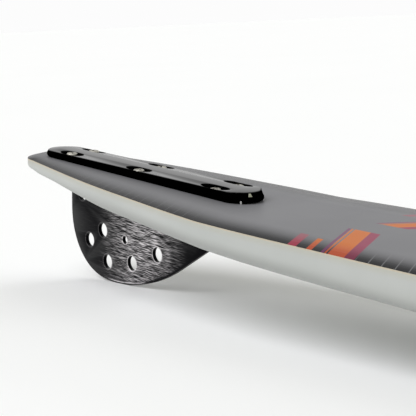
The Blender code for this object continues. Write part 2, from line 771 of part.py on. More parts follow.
def make_fin(depth_slide):
    """Flat plate with softened edges and round holes."""
    bm = bmesh.new()
    half = FIN_THICKNESS / 2
    outline = fin_outline()
    add_prism(bm, outline, -half, half, axis="y")
    bmesh.ops.recalc_face_normals(bm, faces=bm.faces)
    rims = [e for e in bm.edges if abs(e.verts[0].co.y - e.verts[1].co.y) < half]
    bmesh.ops.bevel(bm, geom=rims, offset=FIN_EDGE, segments=1, affect="EDGES", profile=0.5)
    surface = material("fin_black", (0.030, 0.030, 0.032), 0.35, 0.8)
    fin = mesh_object("fin", bm, depth_slide, (0, 0, 0), surface, sharp=0.35)
    holes = bmesh.new()
    for x, z, radius in FIN_HOLES:
        sides = FIN_HOLE_SIDES if radius > FIN_VENT_RADIUS else FIN_HOLE_SIDES // 2
        add_prism(holes, circle(radius, sides, (x, z)), -FIN_THICKNESS, FIN_THICKNESS, axis="y")
    cut(fin, cutter("fin_hole_cutter", holes, depth_slide))


def points_of(objects, frame):
    """All corners of the objects' finished meshes, in the given frame."""
    graph = bpy.context.evaluated_depsgraph_get()
    inverse = frame.matrix_world.inverted()
    found = []
    for obj in objects:
        finished = obj.evaluated_get(graph)
        mesh = finished.to_mesh()
        to_frame = inverse @ obj.matrix_world
        found += [to_frame @ v.co for v in mesh.vertices]
        finished.to_mesh_clear()
    return found


def rest_pitch(fin_points, base_points):
    """Angle that brings the fin's lowest point and the base's lowest point to one level."""
    def level(points, pitch):
        return min(-p.x * sin(pitch) + p.z * cos(pitch) for p in points)

    low, high = 0.0, atan(4 * FIN_DEPTH / SKI_LENGTH)
    for _ in range(50):
        middle = (low + high) / 2
        if level(fin_points, middle) < level(base_points, middle):
            low = middle
        else:
            high = middle
    return (low + high) / 2


def stand_on_floor(root):
    """Pitches the ski about y and moves the origin under the middle of its box."""
    bpy.context.view_layer.update()
    solid = [o for o in bpy.data.objects if o.type == "MESH" and not o.hide_render]
    fin = points_of([bpy.data.objects["fin"]], root)
    base = points_of([bpy.data.objects["base_shell"]], root)
    root.rotation_euler = (0.0, rest_pitch(fin, base), 0.0)
    bpy.context.view_layer.update()
    turned = [root.matrix_world @ p for p in points_of(solid, root)]
    xs = [p.x for p in turned]
    zs = [p.z for p in turned]
    root.location = (-(min(xs) + max(xs)) / 2, 0.0, -min(zs))
    bpy.context.view_layer.update()


def main():
    for old in list(bpy.data.objects):
        bpy.data.objects.remove(old, do_unlink=True)
    root = empty("ski_frame", None, (0, 0, 0))
    make_hull(root)
    make_block_screws(root)
    travel = empty("fin_fore_aft_slide", root, (BLOCK_CENTRE, 0, 0))
    make_fin_block(travel)
    make_clamp(travel)
    depth = empty("fin_depth_slide", travel, (REAR_SCREW_FROM_TAIL - BLOCK_CENTRE, 0, 0))
    make_fin(depth)
    stand_on_floor(root)


main()
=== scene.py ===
"""A slalom water ski standing on its fin on a white studio floor, seen from beside its tail.

Pieces are modelled in the ski's own frame, where x runs from the tail to the tip, y across and z = 0 is the
flat of the deck at the tail. Each finished piece is then pitched and moved to where the ski stands.
"""

from bisect import bisect_left
from math import atan2, cos, hypot, pi, radians, sin, tan

import bmesh
import bpy
from mathutils import Matrix, Vector

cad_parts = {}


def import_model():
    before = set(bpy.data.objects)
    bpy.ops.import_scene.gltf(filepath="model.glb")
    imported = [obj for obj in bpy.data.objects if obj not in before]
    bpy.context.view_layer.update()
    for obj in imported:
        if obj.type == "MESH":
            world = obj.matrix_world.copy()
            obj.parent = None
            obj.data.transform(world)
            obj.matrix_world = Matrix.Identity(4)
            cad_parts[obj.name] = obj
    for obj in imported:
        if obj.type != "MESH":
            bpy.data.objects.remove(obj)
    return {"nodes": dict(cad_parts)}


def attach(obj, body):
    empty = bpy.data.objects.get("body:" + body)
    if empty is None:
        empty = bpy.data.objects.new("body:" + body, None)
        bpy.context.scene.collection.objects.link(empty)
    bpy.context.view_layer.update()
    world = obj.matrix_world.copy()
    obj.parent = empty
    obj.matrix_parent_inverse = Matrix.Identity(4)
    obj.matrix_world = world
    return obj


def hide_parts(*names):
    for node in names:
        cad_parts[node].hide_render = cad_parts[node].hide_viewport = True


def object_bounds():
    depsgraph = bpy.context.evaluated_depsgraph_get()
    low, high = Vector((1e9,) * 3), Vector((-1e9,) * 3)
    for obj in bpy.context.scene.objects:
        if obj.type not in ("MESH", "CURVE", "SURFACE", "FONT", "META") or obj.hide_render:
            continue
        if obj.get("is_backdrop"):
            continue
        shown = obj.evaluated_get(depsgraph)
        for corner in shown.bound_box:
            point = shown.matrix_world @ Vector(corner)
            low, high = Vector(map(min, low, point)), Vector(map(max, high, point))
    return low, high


# Where the ski stands
SKI_ORIGIN = (-0.85153, 0.0, 0.09127)
SKI_PITCH = radians(5.0494722)

# Gap between pieces, a first step before rows are set, and a hair that tells rings of corners apart
GAP = 0.0003
MILLIMETRE = 0.001
HAIR = 0.0001

# Hull from above: distance from the tail, full width
SKI_LENGTH = 1.700
WIDEST = 1.103
TAIL_CORNER = 0.021
OUTLINE = [
    (TAIL_CORNER, 0.0574), (0.050, 0.0684), (0.090, 0.0834), (0.130, 0.0960), (0.180, 0.1076), (0.230, 0.1182),
    (0.300, 0.1276), (0.370, 0.1318), (0.450, 0.1355), (0.560, 0.1435), (0.800, 0.1600), (WIDEST, 0.1720),
]
TAIL_POWER = 2.2
TIP_POWER = 2.1
TIP_ROUNDNESS = 0.75
BLUNT_SHARE = 0.985

# Hull from the side: distance from the tail, thickness on the rails
THICKNESS = [
    (0.000, 0.0037), (0.017, 0.0072), (0.033, 0.0092), (0.056, 0.0098), (0.100, 0.0124), (0.146, 0.0155),
    (0.187, 0.0167), (0.240, 0.0186), (0.300, 0.0209), (0.352, 0.0223), (0.436, 0.0238), (0.526, 0.0251),
    (0.743, 0.0267), (0.943, 0.0267), (1.143, 0.0249), (1.343, 0.0208), (1.523, 0.0157), (SKI_LENGTH, 0.0110),
]

# Lower edge: distance from the tail, height of the bevel that sets how far in the edge reaches, and height on the
# side wall where its curve starts
LOWER_BEVEL = [
    (0.000, 0.0006), (0.056, 0.0009), (0.146, 0.0028), (0.240, 0.0055), (0.352, 0.0082), (0.436, 0.0100),
    (0.600, 0.0115), (1.143, 0.0112), (1.500, 0.0065), (SKI_LENGTH, 0.0020),
]
LOWER_CURVE = [
    (0.000, 0.0008), (0.056, 0.0030), (0.146, 0.0075), (0.240, 0.0105), (0.352, 0.0138), (0.436, 0.0160),
    (0.600, 0.0175), (1.143, 0.0165), (1.500, 0.0100), (SKI_LENGTH, 0.0030),
]
BEVEL_ASPECT = 1.35
RAIL_FLAT = 0.006
NARROW_SHARE = 0.3

# Tunnel along the base: distance from the tail, depth. Where there is none, the base's rings and those of the
# room in it are cambered by a hair, so that they never fold
TUNNEL = [(0.240, 0.0), (0.420, 0.0022), (0.600, 0.0030), (1.050, 0.0030), (1.350, 0.0)]
BASE_CAMBER = 0.00004
BASE_DROP = 0.00005
TRAY_CAMBER = 0.00006

# Skins of the sandwich
SKIN = 0.0009
LAMINATE = 0.0009
SIDE_WALL = 0.0015
BASE_FLOOR = 0.0006
END_WALL = 0.0028
CORNER_SHARE = 0.8

# Deck line: flat under the fin block, then a straight rise to the bindings, then the turned-up tip
DECK_BREAK = 0.2493
DECK_BLEND = 0.010
DECK_SLOPE = 0.037
TIP_RISE_START = 0.995
TIP_RISE = 0.060
TIP_RISE_POWER = 2.3

# Deck's edge: a lip, and a roll that starts above it and reaches less far in where the ski is narrow
DECK_LIP = 0.0002
ROLL_FOOT = 0.00032
ROLL_POWER = 2.4
ROLL_REACH = 0.0270
ROLL_SHARE = 0.6
ROLL_NARROW = (0.4, 0.0032)
END_SHARE = 0.8

# Places of the block's screws, and how far the block slides each way under them
SCREW_REAR = 0.046
SCREW_PITCH = 0.0825
SCREW_ROW = 0.0096
SCREW_X = [SCREW_REAR + i * SCREW_PITCH for i in range(3)]
SCREW_PLACES = [(x, y) for x in SCREW_X for y in (-SCREW_ROW, SCREW_ROW)]
TRAVEL = 0.004

# Fin block, where a pair of values is for its rear and its front; its foot rings have a height and a share of tuck
BLOCK_REAR = 0.0089
BLOCK_FRONT = 0.2403
BLOCK_HALF = 0.0142
BLOCK_FOOT = 0.0016
FOOT_RINGS = [(0.0009, 0.3), (GAP, 0.7)]
FOOT_TUCK = 0.0019
BLOCK_WAIST = 0.0030
BLOCK_WALL = (0.0052, 0.0072)
END_BACK = (0.0012, 0.0022)
BLOCK_EDGE = 0.0008
BLOCK_CROWN = (0.0010, 0.0005)
RECESS_HALF_LENGTH = 0.0136
RECESS_HALF = 0.00425
RECESS_FLOOR = 0.0037
SLOT_REACH = TRAVEL + 0.0026
SLOT_HALF = 0.0023
GROOVE_SIDES = (-0.0018, 0.0037)
GROOVE_TOP = 0.0059
CLAMP_X = [x + SCREW_PITCH / 2 + side * 0.013 for x in SCREW_X[:2] for side in (-1, 1)]
CLAMP_HOLE = 0.0020
CLAMP_HEIGHT = 0.0028
CLAMP_MIDDLE = 0.0136
CLAMP_LENGTH = 0.020

# Screws; the dome's rings have a share of the head's radius and a rise
HEAD_RADIUS = 0.0040
HEAD_SIDE = 0.0012
HEAD_DOME = [(0.96, 0.00055), (0.84, 0.00042), (0.62, 0.00022), (0.30, 0.00009)]
SHANK_RADIUS = 0.0020
SHANK_LENGTH = 0.0108
CROSS_REACH = 0.0028
CROSS_HALF = 0.00065
CROSS_FLOOR = 0.0009
CROSS_TOP = 0.004
# Where the cross's floor gets painted shade: its reach and its lowest and highest levels
SHADE_REACH = 0.0031
SHADE_LEVELS = (0.0007, 0.0018)
FIRST_TURN = 0.35
NEXT_TURN = 0.9

# Fin, from the rear screws; its holes have a distance ahead of them, a height and a radius
FIN_HALF = 0.0015
FIN_REAR = -0.0131
FIN_FRONT = 0.1780
FIN_DEPTH = 0.0839
FIN_LOWEST = 0.0351
HEEL_START = 0.0350
HEEL_FULLNESS = 2.15
SWEEP_RADIUS = 0.152
SWEEP_ANGLE = 0.575
TAB_TOP = 0.0036
LARGE_HOLE = 0.00527
SMALL_HOLE = 0.0028
FIN_HOLES = [
    (0.0272, -0.0478, LARGE_HOLE), (0.0105, -0.0580, LARGE_HOLE), (0.0333, -0.0702, LARGE_HOLE),
    (0.0634, -0.0654, LARGE_HOLE), (0.0930, -0.0533, LARGE_HOLE), (0.0008, -0.0249, LARGE_HOLE),
    (0.0546, -0.0500, SMALL_HOLE),
]

# Fin's slot through the hull
FIN_SLOT_REAR = 0.0279
FIN_SLOT_FRONT = 0.2290
FIN_SLOT_HALF = 0.0020

# Holes for the binding inserts
BINDING_X = [0.500, 0.575, 0.735, 0.800, 0.865]
BINDING_ROW = 0.032
DECK_HOLE = 0.0050
LAMINATE_HOLE = 0.0051
HOLE_DEPTH = 0.012

# Stripes on the deck: colours on the flat and on the rolled edge, then each stripe's start and end along lines
# that lean back from the centre line, its inner end's distance from the centre line, and its colours
# Each stripe's flat colour is paled by a painted sheen, its rolled-edge colour darkened by painted shade
CRIMSON = ((0.26, 0.10, 0.12), (0.30, 0.02, 0.05))
WINE = ((0.25, 0.04, 0.08), (0.16, 0.01, 0.04))
ORANGE = ((0.52, 0.14, 0.022), (0.42, 0.06, 0.012))
PLUM = ((0.17, 0.06, 0.12), (0.12, 0.02, 0.08))
STRIPE_LEAN = 0.62
STRIPES = [
    (0.3000, 0.3068, 0.041, CRIMSON), (0.3150, 0.3192, 0.044, ORANGE), (0.3262, 0.3284, 0.0110, PLUM),
    (0.3290, 0.3303, 0.0110, ORANGE), (0.3316, 0.3440, 0.0110, ORANGE), (0.3440, 0.3512, 0.0110, WINE),
    (1.1800, 1.1868, 0.041, CRIMSON), (1.1960, 1.2084, 0.0110, ORANGE), (1.2084, 1.2156, 0.0110, WINE),
    (1.2240, 1.2282, 0.0110, ORANGE),
]
PIN_START = 0.3608
PIN_PITCH = 0.0093

# Camera, from the ski's own frame: place, angles in degrees, and focal length and picture width in pixels
CAMERA_PLACE = (0.8704, -0.5553, 0.1741)
CAMERA_YAW = 50.69174
CAMERA_PITCH = 11.92484
CAMERA_ROLL = 0.81755
FOCAL_PIXELS = 1361.2164
PICTURE_PIXELS = 416
SENSOR_WIDTH = 36


# Lines of the hull

def smooth_through(points):
    """A smooth curve through (x, value) points that never overshoots them."""
    xs = [p[0] for p in points]
    ys = [p[1] for p in points]
    steps = [(ys[i + 1] - ys[i]) / (xs[i + 1] - xs[i]) for i in range(len(xs) - 1)]
    slopes = [steps[0]]
    for before, after in zip(steps, steps[1:]):
        slopes.append(2 * before * after / (before + after) if before * after > 0 else 0.0)
    slopes.append(steps[-1])

    def value(x):
        if x <= xs[0]:
            return ys[0]
        if x >= xs[-1]:
            return ys[-1]
        i = max(k for k in range(len(xs) - 1) if xs[k] <= x)
        width = xs[i + 1] - xs[i]
        t = (x - xs[i]) / width
        start = ys[i] * (1 + 2 * t) * (1 - t) ** 2 + slopes[i] * width * t * (1 - t) ** 2
        return start + ys[i + 1] * t * t * (3 - 2 * t) + slopes[i + 1] * width * t * t * (t - 1)

    return value


outline_width = smooth_through(OUTLINE)
thickness = smooth_through(THICKNESS)
lower_bevel = smooth_through(LOWER_BEVEL)
lower_curve = smooth_through(LOWER_CURVE)
tunnel_depth = smooth_through(TUNNEL)


def half_width(x):
    if x < TAIL_CORNER:
        share = BLUNT_SHARE * (TAIL_CORNER - x) / TAIL_CORNER
        return OUTLINE[0][1] / 2 * (1 - share**TAIL_POWER) ** (1 / TAIL_POWER)
    if x > WIDEST:
        share = BLUNT_SHARE * (x - WIDEST) / (SKI_LENGTH - WIDEST)
        return OUTLINE[-1][1] / 2 * (1 - share**TIP_POWER) ** TIP_ROUNDNESS
    return outline_width(x) / 2


def deck_height(x):
    along = x - DECK_BREAK
    if along <= 0:
        rise = 0.0
    elif along < DECK_BLEND:
        rise = DECK_SLOPE * along**2 / (2 * DECK_BLEND)
    else:
        rise = DECK_SLOPE * (along - DECK_BLEND / 2)
    if x > TIP_RISE_START:
        rise += TIP_RISE * ((x - TIP_RISE_START) / (SKI_LENGTH - TIP_RISE_START)) ** TIP_RISE_POWER
    return rise


def base_height(x):
    return deck_height(x) - thickness(x)


def rim_height(x):
    return deck_height(x) - SKIN - LAMINATE


def bevel_reach(x):
    return min(BEVEL_ASPECT * lower_bevel(x), NARROW_SHARE * half_width(x))


def rail_half(x):
    return max(half_width(x) - bevel_reach(x) - RAIL_FLAT, NARROW_SHARE * half_width(x))


def hull_stations():
    """Distances from the tail of the hull's rows, close together round the tail, the tip and the deck's bend."""
    tail_rows, body_rows, middle_rows, tip_rows, bend_rows = 12, 45, 22, 34, 4
    body_step, middle_start, middle_step, apart = 0.0105, 0.520, 0.0265, 0.003
    tail = [TAIL_CORNER * (1 - cos(pi / 2 * i / tail_rows)) for i in range(tail_rows + 1)]
    body = [TAIL_CORNER + body_step * i for i in range(1, body_rows + 1)]
    middle = [middle_start + middle_step * i for i in range(middle_rows)]
    tip = [WIDEST + (SKI_LENGTH - WIDEST) * sin(pi / 2 * i / tip_rows) for i in range(1, tip_rows + 1)]
    bend = [DECK_BREAK + DECK_BLEND * i / bend_rows for i in range(bend_rows + 1)]
    clear = [x for x in tail + body + middle if all(abs(x - b) > apart for b in bend)]
    return sorted(clear + bend + tip)


STATIONS = hull_stations()


# Modelling by hand

def make_active(obj):
    bpy.ops.object.select_all(action="DESELECT")
    obj.select_set(True)
    bpy.context.view_layer.objects.active = obj


def apply_place():
    bpy.ops.object.transform_apply(location=True, rotation=True, scale=True)


def edit_new(name):
    """Names the primitive just added and opens it for editing with nothing selected."""
    obj = bpy.context.object
    obj.name = name
    obj.data.name = name
    bpy.ops.object.mode_set(mode="EDIT")
    bpy.ops.mesh.select_mode(type="VERT")
    bpy.ops.mesh.select_all(action="DESELECT")
    return obj


def reopen(obj):
    make_active(obj)
    bpy.ops.object.mode_set(mode="EDIT")
    bpy.ops.mesh.select_all(action="DESELECT")


def close():
    bpy.ops.object.mode_set(mode="OBJECT")


def pick(kind, test):
    """Selects corners (VERT) by place, edges (EDGE) by their ends or faces (FACE) by middle and normal."""
    bpy.ops.mesh.select_mode(type=kind)
    bpy.ops.mesh.select_all(action="DESELECT")
    mesh = bpy.context.edit_object.data
    bm = bmesh.from_edit_mesh(mesh)
    bm.normal_update()
    if kind == "VERT":
        for v in bm.verts:
            v.select_set(test(v.co))
    elif kind == "EDGE":
        for e in bm.edges:
            e.select_set(test(e.verts[0].co, e.verts[1].co))
    else:
        for f in bm.faces:
            f.select_set(test(f.calc_center_median(), f.normal))
    bm.select_flush_mode()
    bmesh.update_edit_mesh(mesh)


def move(x=0.0, y=0.0, z=0.0):
    bpy.ops.transform.translate(value=(x, y, z))


def extrude(x=0.0, y=0.0, z=0.0):
    bpy.ops.mesh.extrude_region_move(TRANSFORM_OT_translate={"value": (x, y, z)})


def resize(x=1.0, y=1.0, about=0.0):
    """Scales the selection along and across the ski, about a place on its centre line."""
    bpy.ops.transform.resize(value=(x, y, 1), center_override=(about, 0, 0))


def make_outward():
    bpy.ops.mesh.select_all(action="SELECT")
    bpy.ops.mesh.remove_doubles(threshold=1e-6)
    bpy.ops.mesh.normals_make_consistent(inside=False)


def set_rows(half, height, stations=STATIONS):
    """Scales and lifts the selected corners, station by station, to a half width and a height."""
    mesh = bpy.context.edit_object.data
    bm = bmesh.from_edit_mesh(mesh)
    rows = {}
    for v in bm.verts:
        if v.select:
            i = bisect_left(stations, v.co.x - 1e-5)
            rows.setdefault(min(i, len(stations) - 1), []).append(v.index)
    bpy.ops.mesh.select_mode(type="VERT")
    for i, members in rows.items():
        x = stations[i]
        bpy.ops.mesh.select_all(action="DESELECT")
        bm = bmesh.from_edit_mesh(mesh)
        bm.verts.ensure_lookup_table()
        now = bm.verts[members[0]].co.copy()
        for index in members:
            bm.verts[index].select_set(True)
        resize(y=half(x) / abs(now.y), about=x)
        move(z=height(x) - now.z)
    bpy.ops.mesh.select_all(action="DESELECT")
    bm = bmesh.from_edit_mesh(mesh)
    bm.verts.ensure_lookup_table()
    for members in rows.values():
        for index in members:
            bm.verts[index].select_set(True)
    bm.select_flush_mode()
    bmesh.update_edit_mesh(mesh)
    bpy.ops.mesh.select_mode(type="FACE")


def start_strip(name, height, half=half_width, stations=STATIONS):
    """A strip along the ski at a height, made from a plane whose front edge is drawn out station by station."""
    bpy.ops.mesh.primitive_plane_add(size=2)
    obj = edit_new(name)
    bpy.ops.mesh.select_all(action="SELECT")
    first, second = stations[:2]
    resize(x=(second - first) / 2)
    move(x=(first + second) / 2)
    pick("EDGE", lambda a, b: min(a.x, b.x) > (first + second) / 2)
    for before, after in zip(stations[1:], stations[2:]):
        extrude(x=after - before)
    bpy.ops.mesh.select_mode(type="FACE")
    bpy.ops.mesh.select_all(action="SELECT")
    set_rows(half, height, stations)
    return obj


def cut(target, tool):
    """Cuts a tool out of a piece for good and clears the tool away."""
    make_active(target)
    step = target.modifiers.new("cut", "BOOLEAN")
    step.operation = "DIFFERENCE"
    step.solver = "EXACT"
    step.object = tool
    bpy.ops.object.modifier_apply(modifier=step.name)
    bpy.data.objects.remove(tool, do_unlink=True)


def soften(obj, width, segments, limit=35):
    """Rounds edges sharper than a limit, all of them less where one lacks room."""
    make_active(obj)
    step = obj.modifiers.new("soft_edges", "BEVEL")
    step.width = width
    step.segments = segments
    step.limit_method = "ANGLE"
    step.angle_limit = radians(limit)
    step.use_clamp_overlap = True
    bpy.ops.object.modifier_apply(modifier=step.name)


def slot_bar(name, start, end, half, low, high, y=0.0, sides=48):
    """An upright bar with round ends between two x limits: a cylinder pulled apart at its middle."""
    middle = (start + end) / 2
    bpy.ops.mesh.primitive_cylinder_add(
        vertices=sides, radius=half / cos(pi / sides), depth=high - low,
        location=(middle, y, (low + high) / 2), rotation=(0, 0, pi / sides),
    )
    apply_place()
    obj = edit_new(name)
    stretch = (end - start) / 2 - half
    pick("VERT", lambda co: co.x > middle)
    move(x=stretch)
    pick("VERT", lambda co: co.x < middle)
    move(x=-stretch)
    close()
    return obj


def lens_bar(name, x, y, low, high):
    """A cutting bar for a recess: straight over the screw's travel, with ends drawn out to ellipses."""
    reach = TRAVEL + RECESS_HALF
    obj = slot_bar(name, x - reach, x + reach, RECESS_HALF, low, high, y)
    reopen(obj)
    stretch = (RECESS_HALF_LENGTH - TRAVEL) / RECESS_HALF
    for side in (-1, 1):
        pick("VERT", lambda co: (co.x - x) * side > 0)
        resize(x=stretch, about=x + side * TRAVEL)
    close()
    return obj


def round_bar(name, radius, place, depth, axis="z", sides=48):
    """A round cutting bar about a point, upright or across the ski."""
    turn = (0, 0, 0) if axis == "z" else (pi / 2, 0, 0)
    bpy.ops.mesh.primitive_cylinder_add(vertices=sides, radius=radius, depth=depth, location=place, rotation=turn)
    apply_place()
    obj = bpy.context.object
    obj.name = name
    return obj


def box_bar(name, low, high):
    bpy.ops.mesh.primitive_cube_add(size=1, location=[(a + b) / 2 for a, b in zip(low, high)])
    obj = bpy.context.object
    obj.name = name
    obj.scale = [b - a for a, b in zip(low, high)]
    apply_place()
    return obj


def stand(obj, smooth=30):
    """Smooths a finished piece and carries it from the ski's own frame to where the ski stands."""
    make_active(obj)
    bpy.ops.object.shade_smooth_by_angle(angle=radians(smooth))
    obj.rotation_euler = (0, SKI_PITCH, 0)
    obj.location = SKI_ORIGIN
    apply_place()
    return obj


def dress(obj, finish, body, slot, *nodes):
    """Gives a piece its finish, lets it ride on its body and stand for its CAD nodes."""
    obj.data.materials.clear()
    obj.data.materials.append(finish)
    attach(obj, body)
    if nodes:
        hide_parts(*nodes)


# Pieces of the hull

def roll_reach(x):
    """How far in from its edge the deck is rolled."""
    share, start = ROLL_NARROW
    return min(ROLL_REACH, ROLL_SHARE * half_width(x), share * half_width(x) + start)


def mark_edges(obj):
    """Stores how far each corner lies from the hull's outline, as a share of the roll, for the deck's fade, a
    painted shade on its rolled edge.
    """
    shares = obj.data.attributes.new("inward", "FLOAT", "POINT")
    for corner, share in zip(obj.data.vertices, shares.data):
        x, y = corner.co.xy
        from_side = half_width(x) - abs(y)
        from_end = min(x, SKI_LENGTH - x) * END_SHARE
        share.value = max(0.0, min(1.0, min(from_side, from_end) / roll_reach(x)))


def cut_fin_slot(obj, low, high):
    cut(obj, slot_bar("fin_slot", FIN_SLOT_REAR, FIN_SLOT_FRONT, FIN_SLOT_HALF, low, high))


def drill_for_bindings(obj, radius):
    for x in BINDING_X:
        for y in (-BINDING_ROW, BINDING_ROW):
            cut(obj, round_bar("binding_hole", radius, (x, y, deck_height(x)), HOLE_DEPTH))


def make_deck_skin():
    """Black top sheet: a strip given its lip, then rolled over at its edge row by row."""
    obj = start_strip("deck_skin", lambda x: deck_height(x) - SKIN)
    extrude(z=DECK_LIP)
    for share in (0.006, 0.018, 0.045, 0.09, 0.16, 0.26, 0.38, 0.52, 0.68, 0.84, 1.0):
        extrude()
        set_rows(
            lambda x, s=share: half_width(x) - roll_reach(x) * s,
            lambda x, s=share: deck_height(x) - (SKIN - ROLL_FOOT) * (1 - s) ** ROLL_POWER,
        )
    make_outward()
    close()
    drill_for_bindings(obj, DECK_HOLE)
    cut_fin_slot(obj, -0.02, 0.02)
    mark_edges(obj)
    return stand(obj)


def make_laminate_edge():
    """Cream laminate under the deck, whose edge shows as a thin line."""
    obj = start_strip("laminate_edge", rim_height)
    extrude(z=LAMINATE)
    make_outward()
    close()
    cut_fin_slot(obj, -0.03, 0.03)
    drill_for_bindings(obj, LAMINATE_HOLE)
    return stand(obj)


def make_tray():
    """The room for the core inside the base, as a tool to cut with."""
    rear, front = END_WALL, SKI_LENGTH - END_WALL
    inside = [rear] + [x for x in STATIONS if rear + MILLIMETRE < x < front - MILLIMETRE] + [front]
    wall = lambda x: half_width(x) - SIDE_WALL
    corner = lambda x: max(half_width(x) - bevel_reach(x), CORNER_SHARE * half_width(x)) - SIDE_WALL
    obj = start_strip("tray", lambda x: rim_height(x) + MILLIMETRE, wall, inside)
    extrude(z=-MILLIMETRE)
    set_rows(wall, lambda x: base_height(x) + lower_bevel(x) + BASE_FLOOR, inside)
    extrude()
    set_rows(corner, lambda x: base_height(x) + BASE_FLOOR, inside)
    for share in (0.95, 0.6, 0.2):
        extrude()
        set_rows(
            lambda x, s=share: min(rail_half(x) * s, corner(x) * 0.98),
            lambda x, s=share: base_height(x) + BASE_FLOOR + (tunnel_depth(x) + TRAY_CAMBER) * (1 - s * s),
            inside,
        )
    make_outward()
    close()
    return obj


def make_base_hull():
    """White base: walls drawn down from the rim, the rounded lower edge, the rails and the tunnel between them."""
    obj = start_strip("base_hull", rim_height)
    extrude(z=-MILLIMETRE)
    set_rows(half_width, lambda x: base_height(x) + lower_curve(x))
    curve_steps = 10
    for i in range(1, curve_steps + 1):
        turn = pi / 2 * i / curve_steps
        extrude()
        set_rows(
            lambda x, t=turn: half_width(x) - bevel_reach(x) * (1 - cos(t)),
            lambda x, t=turn: base_height(x) + lower_curve(x) * (1 - sin(t)),
        )
    for share in (1.0, 0.88, 0.72, 0.54, 0.34, 0.12):
        extrude()
        set_rows(
            lambda x, s=share: rail_half(x) * s,
            lambda x, s=share: base_height(x) + tunnel_depth(x) * (1 - s * s) - BASE_DROP + BASE_CAMBER * s,
        )
    make_outward()
    close()
    cut(obj, make_tray())
    cut_fin_slot(obj, -0.05, 0.02)
    return stand(obj, smooth=40)


# Fin block, screws and fin

def draw_in_end(side, centre, amount, test):
    """Draws a round end's ring in towards the end's centre: fully round the tip, less towards the sides."""
    limits = (82, 72, 62, 52)
    share = (1 - amount / BLOCK_HALF) ** (1 / len(limits))
    for limit in limits:
        pick("VERT", lambda co: test(co) and atan2(abs(co.y), (co.x - centre) * side) < radians(limit))
        resize(share, share, centre)


def shape_block():
    """The block before it is cut: a round-ended bar with tucked feet, ends leaning back and a domed top."""
    obj = slot_bar("block_body", BLOCK_REAR, BLOCK_FRONT, BLOCK_HALF, BLOCK_FOOT, BLOCK_WAIST, sides=96)
    middle = (BLOCK_REAR + BLOCK_FRONT) / 2
    ends = [
        (-1, BLOCK_REAR + BLOCK_HALF, BLOCK_WALL[0], END_BACK[0]),
        (1, BLOCK_FRONT - BLOCK_HALF, BLOCK_WALL[1], END_BACK[1]),
    ]
    reopen(obj)
    level = BLOCK_FOOT
    for foot, tuck in FOOT_RINGS:
        pick("FACE", lambda centre, normal: normal.z < -0.9)
        extrude(z=foot - level)
        level = foot
        for side, centre_x, _, _ in ends:
            at_foot = lambda co: (co.x - middle) * side > 0 and co.z < foot + HAIR
            draw_in_end(side, centre_x, FOOT_TUCK * tuck, at_foot)
    pick("FACE", lambda centre, normal: normal.z > 0.9)
    lift = 0.0003
    extrude(z=lift)
    for side, centre_x, wall, back in ends:
        over_waist = lambda co: (co.x - middle) * side > 0 and co.z > BLOCK_WAIST + HAIR
        pick("VERT", over_waist)
        move(z=wall - BLOCK_EDGE - BLOCK_WAIST - lift)
        draw_in_end(side, centre_x, back, over_waist)

    edge_rings = [
        (BLOCK_HALF - BLOCK_EDGE * (1 - cos(turn)), [BLOCK_EDGE * (sin(turn) - 1)] * 2)
        for turn in (0.35, 0.75, 1.15, pi / 2)
    ]
    crown_rings = [
        ((BLOCK_HALF - BLOCK_EDGE) * share, [crown * (1 - share * share) for crown in BLOCK_CROWN])
        for share in (0.92, 0.84, 0.76, 0.68, 0.58, 0.47, 0.35, 0.22, 0.09)
    ]
    radius, levels = BLOCK_HALF, [-BLOCK_EDGE] * 2
    for next_radius, next_levels in edge_rings + crown_rings:
        lift = next_levels[0] - levels[0]
        share = next_radius / radius
        pick(
            "FACE",
            lambda centre, normal: normal.z > 0.9 and abs(centre.y) < HAIR and abs(centre.x - middle) < 0.02,
        )
        extrude(z=lift)
        for (side, centre_x, wall, _), level, next_level in zip(ends, levels, next_levels):
            pick("VERT", lambda co: (co.x - middle) * side > 0 and co.z > wall + level + lift / 2)
            move(z=next_level - level - lift)
            resize(share, share, centre_x)
        radius, levels = next_radius, next_levels
    make_outward()
    close()
    return obj


def make_block_body():
    """Crowned block with its six recesses and slots, the groove for the fin's tab and the clamp's holes."""
    obj = shape_block()
    for x, y in SCREW_PLACES:
        cut(obj, lens_bar("recess", x, y, RECESS_FLOOR, 0.02))
    # Tiny edges where the front recesses meet the crown clamp this to under a micrometre: the rims stay sharp
    soften(obj, width=0.00035, segments=3)
    for x, y in SCREW_PLACES:
        cut(obj, slot_bar("screw_slot", x - SLOT_REACH, x + SLOT_REACH, SLOT_HALF, -0.01, 0.005, y, 32))
    rear, front = SCREW_REAR + FIN_REAR - GAP, SCREW_REAR + FIN_FRONT + GAP
    cut(obj, box_bar("tab_groove", (rear, GROOVE_SIDES[0], -0.01), (front, GROOVE_SIDES[1], GROOVE_TOP)))
    for x in CLAMP_X:
        cut(obj, round_bar("clamp_hole", CLAMP_HOLE, (x, CLAMP_MIDDLE, CLAMP_HEIGHT), CLAMP_LENGTH, "y", 32))
    return stand(obj)


